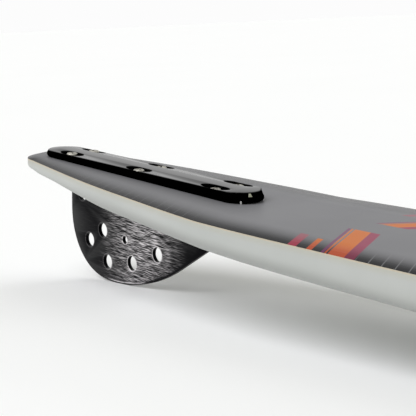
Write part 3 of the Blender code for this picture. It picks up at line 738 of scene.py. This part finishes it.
def make_head_screws(finish):
    """Pan-head screws with a cross recess: one is modelled, then copied into each recess and turned."""
    bpy.ops.mesh.primitive_cylinder_add(
        vertices=40, radius=HEAD_RADIUS, depth=HEAD_SIDE, location=(0, 0, HEAD_SIDE / 2)
    )
    apply_place()
    first = edit_new("block_screw")
    pick("FACE", lambda centre, normal: normal.z > 0.9)
    before = 1.0
    for share, rise in HEAD_DOME:
        extrude(z=rise)
        resize(share / before, share / before)
        before = share
    pick("FACE", lambda centre, normal: normal.z < -0.9)
    bpy.ops.mesh.inset(thickness=HEAD_RADIUS - SHANK_RADIUS, depth=0)
    extrude(z=-SHANK_LENGTH)
    make_outward()
    close()
    for reach, half in ((CROSS_REACH, CROSS_HALF), (CROSS_HALF, CROSS_REACH)):
        cut(first, box_bar("arm", (-reach, -half, CROSS_FLOOR), (reach, half, CROSS_TOP)))
    soften(first, width=0.00010, segments=2, limit=40)

    # Painted shade: the cross's floor is marked to be painted near black
    recess_shade = first.data.attributes.new("recess_shade", "FLOAT", "POINT")
    for corner, share in zip(first.data.vertices, recess_shade.data):
        x, y, z = corner.co
        in_recess = hypot(x, y) < SHADE_REACH and SHADE_LEVELS[0] < z < SHADE_LEVELS[1]
        share.value = 1.0 if in_recess else 0.0

    for count, (x, y) in enumerate(SCREW_PLACES, 1):
        screw = first.copy()
        screw.data = first.data.copy()
        screw.name = f"block_screw_{count}"
        screw.data.name = screw.name
        bpy.context.collection.objects.link(screw)
        make_active(screw)
        screw.rotation_euler = (0, 0, FIRST_TURN + NEXT_TURN * count)
        screw.location = (x, y, RECESS_FLOOR + GAP)
        apply_place()
        stand(screw, smooth=28)
        dress(screw, finish, "ski", "screw_steel", f"fin_block_screw_{count}")
    bpy.data.objects.remove(first, do_unlink=True)


def fin_outline():
    """The fin's outline after its front top corner: its tab, its heel, its lowest point and its sweep."""
    heel_steps, sweep_steps = 24, 20
    heel = FIN_LOWEST - FIN_REAR
    path = [(FIN_REAR, TAB_TOP)]
    for i in range(heel_steps + 1):
        turn = pi / 2 * i / heel_steps
        back, down = cos(turn) ** (2 / HEEL_FULLNESS), sin(turn) ** (2 / HEEL_FULLNESS)
        path.append((FIN_LOWEST - heel * back, -HEEL_START - (FIN_DEPTH - HEEL_START) * down))
    for i in range(1, sweep_steps + 1):
        turn = SWEEP_ANGLE * i / sweep_steps
        path.append((FIN_LOWEST + SWEEP_RADIUS * sin(turn), -FIN_DEPTH + SWEEP_RADIUS * (1 - cos(turn))))
    path.append((FIN_FRONT, path[-1][1] + (FIN_FRONT - path[-1][0]) * tan(SWEEP_ANGLE)))
    return path


def make_fin_plate():
    """Fin: one corner drawn round the outline, filled, given its thickness, drilled and rounded at its edges."""
    bpy.ops.mesh.primitive_plane_add(size=0.002)
    obj = edit_new("fin_plate")
    pick("VERT", lambda co: co.x > 0 or co.y > 0)
    bpy.ops.mesh.delete(type="VERT")
    bpy.ops.mesh.select_all(action="SELECT")
    corner = bmesh.from_edit_mesh(obj.data).verts[:][0].co.copy()
    here = Vector((SCREW_REAR + FIN_FRONT, 0, TAB_TOP))
    move(*(here - corner))
    for x, z in fin_outline():
        there = Vector((SCREW_REAR + x, 0, z))
        extrude(*(there - here))
        here = there
    bpy.ops.mesh.select_all(action="SELECT")
    bpy.ops.mesh.edge_face_add()
    move(y=-FIN_HALF)
    extrude(y=2 * FIN_HALF)
    make_outward()
    close()
    for x, z, radius in FIN_HOLES:
        cut(obj, round_bar("drill", radius, (SCREW_REAR + x, 0, z), 0.02, "y", 64 if radius == LARGE_HOLE else 40))
    soften(obj, width=0.00022, segments=3, limit=40)
    return stand(obj)


def make_nose_mark(name, turn, low, high, widths):
    """A thin painted mark on the block's round front wall: a small block narrowed at its top and leant with it."""
    centre, middle = BLOCK_FRONT - BLOCK_HALF, (low + high) / 2
    sunk, proud = -0.0002, 0.00012
    mark = box_bar(name, (sunk, -widths[0] / 2, low), (proud, widths[0] / 2, high))
    reopen(mark)
    pick("VERT", lambda co: co.z > middle)
    resize(y=widths[1] / widths[0])
    for side, height in ((-1, low), (1, high)):
        above = max(0.0, (height - BLOCK_WAIST) / (BLOCK_WALL[1] - BLOCK_EDGE - BLOCK_WAIST))
        pick("VERT", lambda co: (co.z - middle) * side > 0)
        move(x=-END_BACK[1] * above)
    close()
    soften(mark, width=0.00003, segments=1)
    mark.rotation_euler = (0, 0, -turn)
    mark.location = (centre + BLOCK_HALF * cos(turn), -BLOCK_HALF * sin(turn), 0)
    apply_place()
    return stand(mark)


# Finishes

def new_finish(name, base, roughness, **plain):
    made = bpy.data.materials.new(name)
    made.use_nodes = True
    tree = made.node_tree
    shader = tree.nodes["Principled BSDF"]
    shader.inputs["Base Color"].default_value = (*base, 1)
    shader.inputs["Roughness"].default_value = roughness
    for socket, value in plain.items():
        shader.inputs[socket.replace("_", " ")].default_value = value
    return made, tree, shader


def ski_frame(tree, scale=(1, 1, 1)):
    """Object coordinates turned back into the ski's own frame, with each axis divided by a scale."""
    place = tree.nodes.new("ShaderNodeTexCoord")
    turn = tree.nodes.new("ShaderNodeMapping")
    turn.vector_type = "TEXTURE"
    turn.inputs["Location"].default_value = SKI_ORIGIN
    turn.inputs["Rotation"].default_value = (0, SKI_PITCH, 0)
    turn.inputs["Scale"].default_value = scale
    tree.links.new(place.outputs["Object"], turn.inputs["Vector"])
    return turn.outputs["Vector"]


def calc(tree, operation, *values):
    node = tree.nodes.new("ShaderNodeMath")
    node.operation = operation
    for socket, value in zip(node.inputs, values):
        if isinstance(value, (int, float)):
            socket.default_value = value
        else:
            tree.links.new(value, socket)
    return node.outputs[0]


def times(tree, first, second):
    return calc(tree, "MULTIPLY", first, second)


def plus(tree, first, second):
    return calc(tree, "ADD", first, second)


def minus(tree, first, second):
    return calc(tree, "SUBTRACT", first, second)


def ski_axes(tree):
    """Distance from the tail, distance across and height over the flat of the deck."""
    split = tree.nodes.new("ShaderNodeSeparateXYZ")
    tree.links.new(ski_frame(tree), split.inputs[0])
    return tuple(split.outputs)


def corner_value(tree, name):
    """A value that a piece's corners hold."""
    node = tree.nodes.new("ShaderNodeAttribute")
    node.attribute_name = name
    return node.outputs["Fac"]


def noise(tree, vector, scale, detail=4, rough=0.55):
    node = tree.nodes.new("ShaderNodeTexNoise")
    node.inputs["Scale"].default_value = scale
    node.inputs["Detail"].default_value = detail
    node.inputs["Roughness"].default_value = rough
    tree.links.new(vector, node.inputs["Vector"])
    return node.outputs["Fac"]


def fit(tree, value, low, high, to_low=0.0, to_high=1.0, smooth=True):
    node = tree.nodes.new("ShaderNodeMapRange")
    node.interpolation_type = "SMOOTHSTEP" if smooth else "LINEAR"
    node.inputs["From Min"].default_value = low
    node.inputs["From Max"].default_value = high
    node.inputs["To Min"].default_value = to_low
    node.inputs["To Max"].default_value = to_high
    tree.links.new(value, node.inputs["Value"])
    return node.outputs["Result"]


def blend(tree, share, first, second):
    node = tree.nodes.new("ShaderNodeMix")
    node.data_type = "RGBA"
    sockets = [s for s in node.inputs if s.type == "RGBA"]
    for socket, value in zip(sockets, (first, second)):
        if isinstance(value, tuple):
            socket.default_value = (*value, 1)
        else:
            tree.links.new(value, socket)
    if isinstance(share, (int, float)):
        node.inputs[0].default_value = share
    else:
        tree.links.new(share, node.inputs[0])
    return [s for s in node.outputs if s.type == "RGBA"][0]


def tint(tree, shader, colour):
    tree.links.new(colour, shader.inputs["Base Color"])


def bump(tree, shader, height, strength, distance):
    node = tree.nodes.new("ShaderNodeBump")
    node.inputs["Strength"].default_value = strength
    node.inputs["Distance"].default_value = distance
    tree.links.new(height, node.inputs["Height"])
    tree.links.new(node.outputs["Normal"], shader.inputs["Normal"])


def make_handling_group():
    """Fine scuffs and a soft unevenness that handled surfaces share, as two masks."""
    group = bpy.data.node_groups.new("handling_marks", "ShaderNodeTree")
    sockets = {"Scuff Scale": "INPUT", "Cloud Scale": "INPUT", "Scuffs": "OUTPUT", "Clouds": "OUTPUT"}
    for name, side in sockets.items():
        group.interface.new_socket(name, in_out=side, socket_type="NodeSocketFloat")
    source = group.nodes.new("NodeGroupInput")
    sink = group.nodes.new("NodeGroupOutput")
    lines = group.nodes.new("ShaderNodeTexNoise")
    lines.inputs["Detail"].default_value = 3
    lines.inputs["Distortion"].default_value = 0.6
    group.links.new(ski_frame(group, (7.0, 1.0, 1.0)), lines.inputs["Vector"])
    group.links.new(source.outputs["Scuff Scale"], lines.inputs["Scale"])
    scuffs = fit(group, lines.outputs["Fac"], 0.62, 0.74)
    clouds = group.nodes.new("ShaderNodeTexNoise")
    clouds.inputs["Detail"].default_value = 5
    group.links.new(ski_frame(group), clouds.inputs["Vector"])
    group.links.new(source.outputs["Cloud Scale"], clouds.inputs["Scale"])
    group.links.new(scuffs, sink.inputs["Scuffs"])
    group.links.new(clouds.outputs["Fac"], sink.inputs["Clouds"])
    return group


def handling(tree, group, scuff, cloud):
    """The two masks of the handling marks at their own scales: scuffs and clouds."""
    node = tree.nodes.new("ShaderNodeGroup")
    node.node_tree = group
    node.inputs["Scuff Scale"].default_value = scuff
    node.inputs["Cloud Scale"].default_value = cloud
    return node.outputs["Scuffs"], node.outputs["Clouds"]


def vary(tree, clouds, low=0.0, high=1.0):
    """A value that wanders between two limits with the clouds."""
    return fit(tree, clouds, 0.3, 0.7, low, high)


def band(tree, value, start, end, soft=0.0003):
    """1 between two limits of a value, 0 outside."""
    rise = fit(tree, value, start - soft, start + soft)
    fall = fit(tree, value, end - soft, end + soft)
    return minus(tree, rise, fall)


def deck_finish(group):
    """Satin black top sheet: leaning stripes, mirrored about the centre line, and pinstripes on the rolled edge."""
    made, tree, shader = new_finish("satin_black_deck", (0.05, 0.05, 0.052), 0.5, Specular_IOR_Level=0.35)
    inward = corner_value(tree, "inward")
    x, y, _ = ski_axes(tree)
    # Painted shade and sheen: near black on the rolled edge as painted shade, grey on the flat partly as a painted
    # sheen
    fade = fit(tree, inward, 0.02, 0.95)
    colour = blend(tree, fade, (0.006, 0.006, 0.007), (0.166, 0.166, 0.172))

    off = calc(tree, "ABSOLUTE", y)
    lean = minus(tree, x, times(tree, off, STRIPE_LEAN))
    # Painted sheen and shade: stripes paler on the flat, darker on the rolled edge
    sheen_share = fit(tree, inward, 0.1, 0.9)
    for start, end, inner, (inside, edge) in STRIPES:
        across = fit(tree, off, inner - 0.0005, inner + 0.0005)
        here = times(tree, band(tree, lean, start, end), across)
        colour = blend(tree, here, colour, blend(tree, sheen_share, edge, inside))

    # Pinstripes: faint beside the fin block, none after it, then strong
    pitch = calc(tree, "FRACT", calc(tree, "DIVIDE", minus(tree, lean, PIN_START), PIN_PITCH))
    fine = band(tree, pitch, 0.02, 0.10, 0.02)
    strong = fit(tree, x, 0.385, 0.400)
    faint = times(tree, band(tree, x, 0.100, 0.245, 0.01), 0.35)
    on_roll = fit(tree, inward, 0.75, 0.95, 1.0, 0.0)
    pins = times(tree, times(tree, fine, calc(tree, "MAXIMUM", strong, faint)), on_roll)
    colour = blend(tree, times(tree, pins, 0.75), colour, (0.17, 0.17, 0.175))

    scuffs, clouds = handling(tree, group, 95.0, 9.0)
    colour = blend(tree, times(tree, scuffs, 0.05), colour, (0.20, 0.20, 0.20))
    tint(tree, shader, colour)
    rough = times(tree, vary(tree, clouds, 0.92, 1.08), fit(tree, inward, 0.1, 0.9, 0.24, 0.5))
    tree.links.new(rough, shader.inputs["Roughness"])

    # The sheet looks rolled over further in than the mesh is, and it has a fine grain
    edge = calc(tree, "POWER", minus(tree, 1.0, inward), 2.2)
    roll = times(tree, edge, fit(tree, x, 0.12, 0.42, -0.0055, -0.0090))
    grain = times(tree, noise(tree, ski_frame(tree), 420, 2), 0.00001)
    bump(tree, shader, plus(tree, roll, grain), 1.0, 1.0)
    return made


def laminate_finish(group):
    """Cream laminate with fine layers along the ski and warmer clouds."""
    made, tree, shader = new_finish("cream_glass_laminate", (0.66, 0.60, 0.44), 0.45)
    layers = noise(tree, ski_frame(tree, (30.0, 30.0, 1.0)), 2600, 2)
    _, clouds = handling(tree, group, 60.0, 22.0)
    colour = blend(tree, layers, (0.44, 0.405, 0.305), (0.59, 0.55, 0.435))
    colour = blend(tree, times(tree, clouds, 0.4), colour, (0.62, 0.50, 0.38))
    tint(tree, shader, colour)
    bump(tree, shader, layers, 0.15, 0.0001)
    return made


def base_finish(group):
    """Moulded pale base with a faint grey-green cast, fine scuffs along the ski and slight orange peel.

    It is creamier close under the laminate, and darker towards its lower edge as painted shade.
    """
    made, tree, shader = new_finish("moulded_pale_base", (0.47, 0.50, 0.47), 0.38, Specular_IOR_Level=0.3)
    scuffs, clouds = handling(tree, group, 70.0, 14.0)
    colour = blend(tree, vary(tree, clouds), (0.475, 0.495, 0.475), (0.520, 0.535, 0.515))

    # How far a point lies below the deck and above the lower edge, roughly
    x, _, z = ski_axes(tree)
    deck = fit(tree, x, DECK_BREAK + DECK_BLEND / 2, TIP_RISE_START, 0.0, 0.0274, False)
    below = minus(tree, deck, z)
    # Creamier close under the laminate
    creamier_near_rim = times(tree, fit(tree, below, 0.0020, 0.0062, 1.0, 0.0), 0.7)
    colour = blend(tree, creamier_near_rim, colour, (0.485, 0.480, 0.415))
    depth = fit(tree, x, 0.146, 0.436, 0.0151, 0.0238, False)
    above = minus(tree, depth, below)
    # Painted shade: darker towards the lower edge, where the hull curves down over its shadow
    colour = blend(tree, fit(tree, above, 0.0025, 0.0105, 0.8, 0.0), colour, (0.375, 0.385, 0.370))
    colour = blend(tree, times(tree, scuffs, 0.12), colour, (0.30, 0.31, 0.30))
    tint(tree, shader, colour)
    tree.links.new(vary(tree, clouds, 0.32, 0.46), shader.inputs["Roughness"])
    bump(tree, shader, noise(tree, ski_frame(tree), 900, 3), 0.05, 0.0002)
    return made


def block_finish(group):
    """Polished black, whose coat shines on the crown alone: not on the walls, nor in the recesses."""
    black = (0.0004, 0.0004, 0.0004)
    made, tree, shader = new_finish("polished_black_block", black, 0.16, Specular_IOR_Level=0.0)
    shader.inputs["Coat Roughness"].default_value = 0.07
    x, y, z = ski_axes(tree)
    rear, front = BLOCK_REAR + BLOCK_HALF, BLOCK_FRONT - BLOCK_HALF
    rim = fit(tree, x, rear, front, BLOCK_WALL[0], BLOCK_WALL[1], False)
    top = fit(tree, minus(tree, z, rim), -0.0004, 0.0001)

    # How far out of the nearest recess a point lies, where 1 is the recess's edge
    pitches = calc(tree, "DIVIDE", minus(tree, x, SCREW_REAR), SCREW_PITCH)
    share = calc(tree, "FRACT", plus(tree, pitches, 0.5))
    along = times(tree, calc(tree, "ABSOLUTE", minus(tree, share, 0.5)), SCREW_PITCH)
    along = calc(tree, "MAXIMUM", minus(tree, along, TRAVEL), 0.0)
    along = calc(tree, "DIVIDE", along, RECESS_HALF_LENGTH - TRAVEL)
    across = calc(tree, "DIVIDE", minus(tree, calc(tree, "ABSOLUTE", y), SCREW_ROW), RECESS_HALF)
    lens = plus(tree, times(tree, along, along), times(tree, across, across))
    open_top = times(tree, top, fit(tree, lens, 0.98, 1.06))
    tree.links.new(times(tree, open_top, 0.95), shader.inputs["Coat Weight"])

    scuffs, clouds = handling(tree, group, 130.0, 60.0)
    colour = blend(tree, times(tree, scuffs, 0.05), black, (0.02, 0.02, 0.02))
    tint(tree, shader, colour)
    tree.links.new(vary(tree, clouds, 0.12, 0.20), shader.inputs["Roughness"])
    bump(tree, shader, noise(tree, ski_frame(tree, (4.0, 1.0, 1.0)), 900, 3), 0.03, 0.0002)
    return made


def fin_finish(group):
    """Black anodised plate, brushed lengthways: fine bright grooves, brightest in its middle where a highlight is
    painted.
    """
    made, tree, shader = new_finish(
        "brushed_black_plate", (0.03, 0.03, 0.032), 0.34, Metallic=0.9, Specular_IOR_Level=0.1
    )
    x, y, z = ski_axes(tree)
    fine = noise(tree, ski_frame(tree, (14.0, 1.0, 1.0)), 1900, 2, 0.5)
    long = noise(tree, ski_frame(tree, (26.0, 1.0, 1.0)), 1250, 2, 0.5)
    grooves = plus(tree, times(tree, fine, 0.62), times(tree, long, 0.38))
    patches = noise(tree, ski_frame(tree, (1.6, 1.0, 1.0)), 34, 2)
    # Painted highlight: a band across the plate's middle, broken into patches, where the grooves shine brightest
    wear_and_highlight = times(tree, fit(tree, x, 0.066, 0.120), fit(tree, x, 0.126, 0.174, 1.0, 0.0))
    wear_and_highlight = times(tree, wear_and_highlight, fit(tree, patches, 0.25, 0.62, 0.6, 1.0))
    bright = calc(tree, "POWER", fit(tree, grooves, 0.41, 0.61, smooth=False), 1.9)
    amount = times(tree, bright, plus(tree, 0.008, times(tree, wear_and_highlight, 0.99)))

    # Painted reflection: bright rings round the holes
    rim_glint = times(tree, fit(tree, grooves, 0.42, 0.60, 0.3, 0.95), fit(tree, wear_and_highlight, 0.0, 0.45, 0.10, 1.0))
    for hole_x, hole_z, radius in FIN_HOLES:
        across = minus(tree, x, SCREW_REAR + hole_x)
        up = minus(tree, z, hole_z)
        from_middle = calc(tree, "SQRT", plus(tree, times(tree, across, across), times(tree, up, up)))
        ring = band(tree, from_middle, radius + 0.0001, radius + 0.0008, 0.0002)
        amount = calc(tree, "MAXIMUM", amount, times(tree, ring, rim_glint))

    # In from the swept edge: dark at the edge and along its front, with a painted reflection, one bright line, near
    # the lowest point
    from_lowest = minus(tree, x, SCREW_REAR + FIN_LOWEST)
    drop = calc(tree, "SQRT", minus(tree, SWEEP_RADIUS**2, times(tree, from_lowest, from_lowest)))
    inside = minus(tree, plus(tree, z, drop), SWEEP_RADIUS - FIN_DEPTH)
    front_dark = times(tree, fit(tree, inside, 0.0012, 0.0034, 1.0, 0.0), fit(tree, x, 0.120, 0.132))
    amount = times(tree, amount, minus(tree, 1.0, front_dark))
    line = times(tree, band(tree, inside, 0.0009, 0.0016, 0.0002), band(tree, x, 0.082, 0.124, 0.004))
    line = times(tree, line, fit(tree, grooves, 0.40, 0.58, 0.45, 1.0))
    amount = times(tree, calc(tree, "MAXIMUM", amount, line), fit(tree, inside, 0.0005, 0.0009))

    # The plate's faces alone are brushed
    face = fit(tree, calc(tree, "ABSOLUTE", y), FIN_HALF - 0.00025, FIN_HALF - 0.0001)
    colour = blend(tree, times(tree, amount, face), (0.002, 0.002, 0.003), (1.0, 0.96, 0.98))
    tint(tree, shader, colour)
    _, clouds = handling(tree, group, 160.0, 30.0)
    tree.links.new(vary(tree, clouds, 0.28, 0.42), shader.inputs["Roughness"])
    bump(tree, shader, grooves, 0.16, 0.0001)
    return made


def steel_finish(name, base, rough, group, shaded_recess=False):
    """Clouded steel with fine scuffs, and with painted shade where a piece's corners ask for it."""
    made, tree, shader = new_finish(name, base, rough, Metallic=1.0)
    scuffs, clouds = handling(tree, group, 420.0, 180.0)
    dark = tuple(0.62 * c for c in base)
    colour = blend(tree, fit(tree, clouds, 0.35, 0.65), base, dark)
    if shaded_recess:
        # Painted shade: near black on the cross's floor
        colour = blend(tree, fit(tree, corner_value(tree, "recess_shade"), 0.0, 0.35), colour, (0.010, 0.010, 0.008))
    tint(tree, shader, colour)
    tree.links.new(vary(tree, clouds, rough * 0.7, rough * 1.4), shader.inputs["Roughness"])
    bump(tree, shader, scuffs, 0.25, 0.0001)
    return made


def foam_finish():
    made, tree, shader = new_finish("closed_cell_foam", (0.80, 0.72, 0.48), 0.9)
    cells = tree.nodes.new("ShaderNodeTexVoronoi")
    cells.inputs["Scale"].default_value = 900
    tree.links.new(ski_frame(tree), cells.inputs["Vector"])
    colour = blend(tree, cells.outputs["Distance"], (0.62, 0.54, 0.32), (0.84, 0.77, 0.54))
    tint(tree, shader, colour)
    bump(tree, shader, cells.outputs["Distance"], 0.4, 0.0004)
    return made


def insert_block_finish(group):
    made, tree, shader = new_finish("dense_composite", (0.10, 0.09, 0.07), 0.6)
    _, clouds = handling(tree, group, 200.0, 120.0)
    colour = blend(tree, clouds, (0.05, 0.045, 0.035), (0.16, 0.14, 0.11))
    tint(tree, shader, colour)
    bump(tree, shader, clouds, 0.3, 0.0003)
    return made


def paint_finish(name, base, group):
    made, tree, shader = new_finish(name, base, 0.4)
    _, clouds = handling(tree, group, 500.0, 300.0)
    wear_and_highlight = tuple(0.75 * c for c in base)
    tint(tree, shader, blend(tree, clouds, base, wear_and_highlight))
    return made


# Studio

def make_floor():
    """White floor that keeps the ski's shadow."""
    bpy.ops.mesh.primitive_plane_add(size=60, location=(0, 0, -0.0002))
    floor = bpy.context.object
    floor.name = "studio_floor"
    white = (0.936, 0.943, 0.933)
    made, tree, shader = new_finish("white_floor", white, 0.9, Specular_IOR_Level=0.0)
    clouds = noise(tree, ski_frame(tree), 2.0, 2)
    tint(tree, shader, blend(tree, clouds, white, (0.951, 0.955, 0.948)))
    floor.data.materials.append(made)
    floor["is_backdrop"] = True


def add_background(tree, colour, strength):
    node = tree.nodes.new("ShaderNodeBackground")
    node.inputs["Color"].default_value = (*colour, 1)
    node.inputs["Strength"].default_value = strength
    return node.outputs[0]


def mix_light(tree, share, first, second):
    node = tree.nodes.new("ShaderNodeMixShader")
    for socket, value in zip(node.inputs, (share, first, second)):
        tree.links.new(value, socket)
    return node.outputs[0]


def add_sun(name, energy, angle, lean, turn):
    light = bpy.data.objects.new(name, bpy.data.lights.new(name, "SUN"))
    light.data.energy = energy
    light.data.angle = angle
    light.data.color = (0.945, 0.945, 1.0)
    light.rotation_euler = (radians(lean), 0, radians(turn))
    bpy.context.collection.objects.link(light)
    return light


def make_light():
    """Soft surroundings, which gloss and the camera see in their own greys, a key light and two from behind."""
    world = bpy.data.worlds.new("studio")
    bpy.context.scene.world = world
    world.use_nodes = True
    tree = world.node_tree
    tree.nodes.clear()
    soft = add_background(tree, (1.0, 1.0, 0.88), 0.34)
    seen = add_background(tree, (0.975, 0.975, 0.975), 1.0)
    mirrored = add_background(tree, (0.78, 0.78, 0.78), 1.0)
    path = tree.nodes.new("ShaderNodeLightPath")
    unseen = mix_light(tree, path.outputs["Is Glossy Ray"], soft, mirrored)
    light = mix_light(tree, path.outputs["Is Camera Ray"], unseen, seen)
    out = tree.nodes.new("ShaderNodeOutputWorld")
    tree.links.new(light, out.inputs["Surface"])

    add_sun("key_light", 2.22, 0.90, 38, -20)
    for name, energy, angle, lean in (("back_light", 0.58, 1.0, 45), ("low_back_light", 0.7, 0.5, 75)):
        add_sun(name, energy, angle, lean, 165).visible_glossy = False


def make_camera():
    """The photograph's camera, placed from the ski's own frame."""
    yaw, pitch, roll = radians(CAMERA_YAW), radians(CAMERA_PITCH), radians(CAMERA_ROLL)
    forward = Vector((-sin(yaw) * cos(pitch), cos(yaw) * cos(pitch), -sin(pitch)))
    right = forward.cross(Vector((0, 0, 1))).normalized()
    up = right.cross(forward)
    turned_right = cos(roll) * right + sin(roll) * up
    turned_up = -sin(roll) * right + cos(roll) * up
    matrix = Matrix((turned_right, turned_up, -forward)).transposed().to_4x4()
    matrix.translation = CAMERA_PLACE
    stand_matrix = Matrix.Translation(SKI_ORIGIN) @ Matrix.Rotation(SKI_PITCH, 4, "Y")
    data = bpy.data.cameras.new("camera")
    data.sensor_width = SENSOR_WIDTH
    data.lens = FOCAL_PIXELS / PICTURE_PIXELS * SENSOR_WIDTH
    data.clip_start = 0.01
    camera = bpy.data.objects.new("camera", data)
    bpy.context.collection.objects.link(camera)
    camera.matrix_world = stand_matrix @ matrix
    bpy.context.scene.camera = camera


def main():
    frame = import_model()
    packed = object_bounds()
    make_camera()
    bpy.ops.object.select_all(action="DESELECT")

    marks = make_handling_group()
    bright = steel_finish("bright_screw_steel", (0.60, 0.58, 0.51), 0.36, marks, True)
    turned = steel_finish("turned_insert_steel", (0.60, 0.60, 0.58), 0.30, marks)
    dull = steel_finish("dull_clamp_steel", (0.42, 0.42, 0.42), 0.34, marks)
    paint = paint_finish("white_marking_paint", (0.86, 0.86, 0.86), marks)
    pale = paint_finish("pale_nose_finish", (0.36, 0.37, 0.27), marks)

    dress(make_deck_skin(), deck_finish(marks), "ski", "deck_black", "deck_shell")
    dress(make_laminate_edge(), laminate_finish(marks), "ski", "laminate", "glass_laminate")
    dress(make_base_hull(), base_finish(marks), "ski", "base_white", "base_shell")
    dress(make_block_body(), block_finish(marks), "fin_block", "block_black", "fin_block")
    dress(make_fin_plate(), fin_finish(marks), "fin", "fin_black", "fin")
    # A white tick at the foot of the block's front wall, and a pale patch high on it
    for name, turn, low, high, widths, finish in (
        ("setting_tick", 43, 0.0001, 0.0021, (0.0011, 0.0009), paint),
        ("index_mark", 17, 0.0045, 0.0065, (0.0026, 0.0013), pale),
    ):
        dress(make_nose_mark(name, radians(turn), low, high, widths), finish, "fin_block", "base_white")
    make_head_screws(bright)

    # The CAD's hidden pieces get finishes of their own
    hidden = {
        "binding_insert": turned,
        "fin_screw_insert": turned,
        "clamp": dull,
        "foam_core": foam_finish(),
        "fin_insert_block": insert_block_finish(marks),
    }
    for name, node in frame["nodes"].items():
        for start, finish in hidden.items():
            if name.startswith(start):
                node.data.materials.clear()
                node.data.materials.append(finish)

    make_floor()
    make_light()
    bpy.context.scene.view_settings.view_transform = "Standard"
    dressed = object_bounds()
    sizes = {"cad": [list(corner) for corner in packed], "visual": [list(corner) for corner in dressed]}


main()
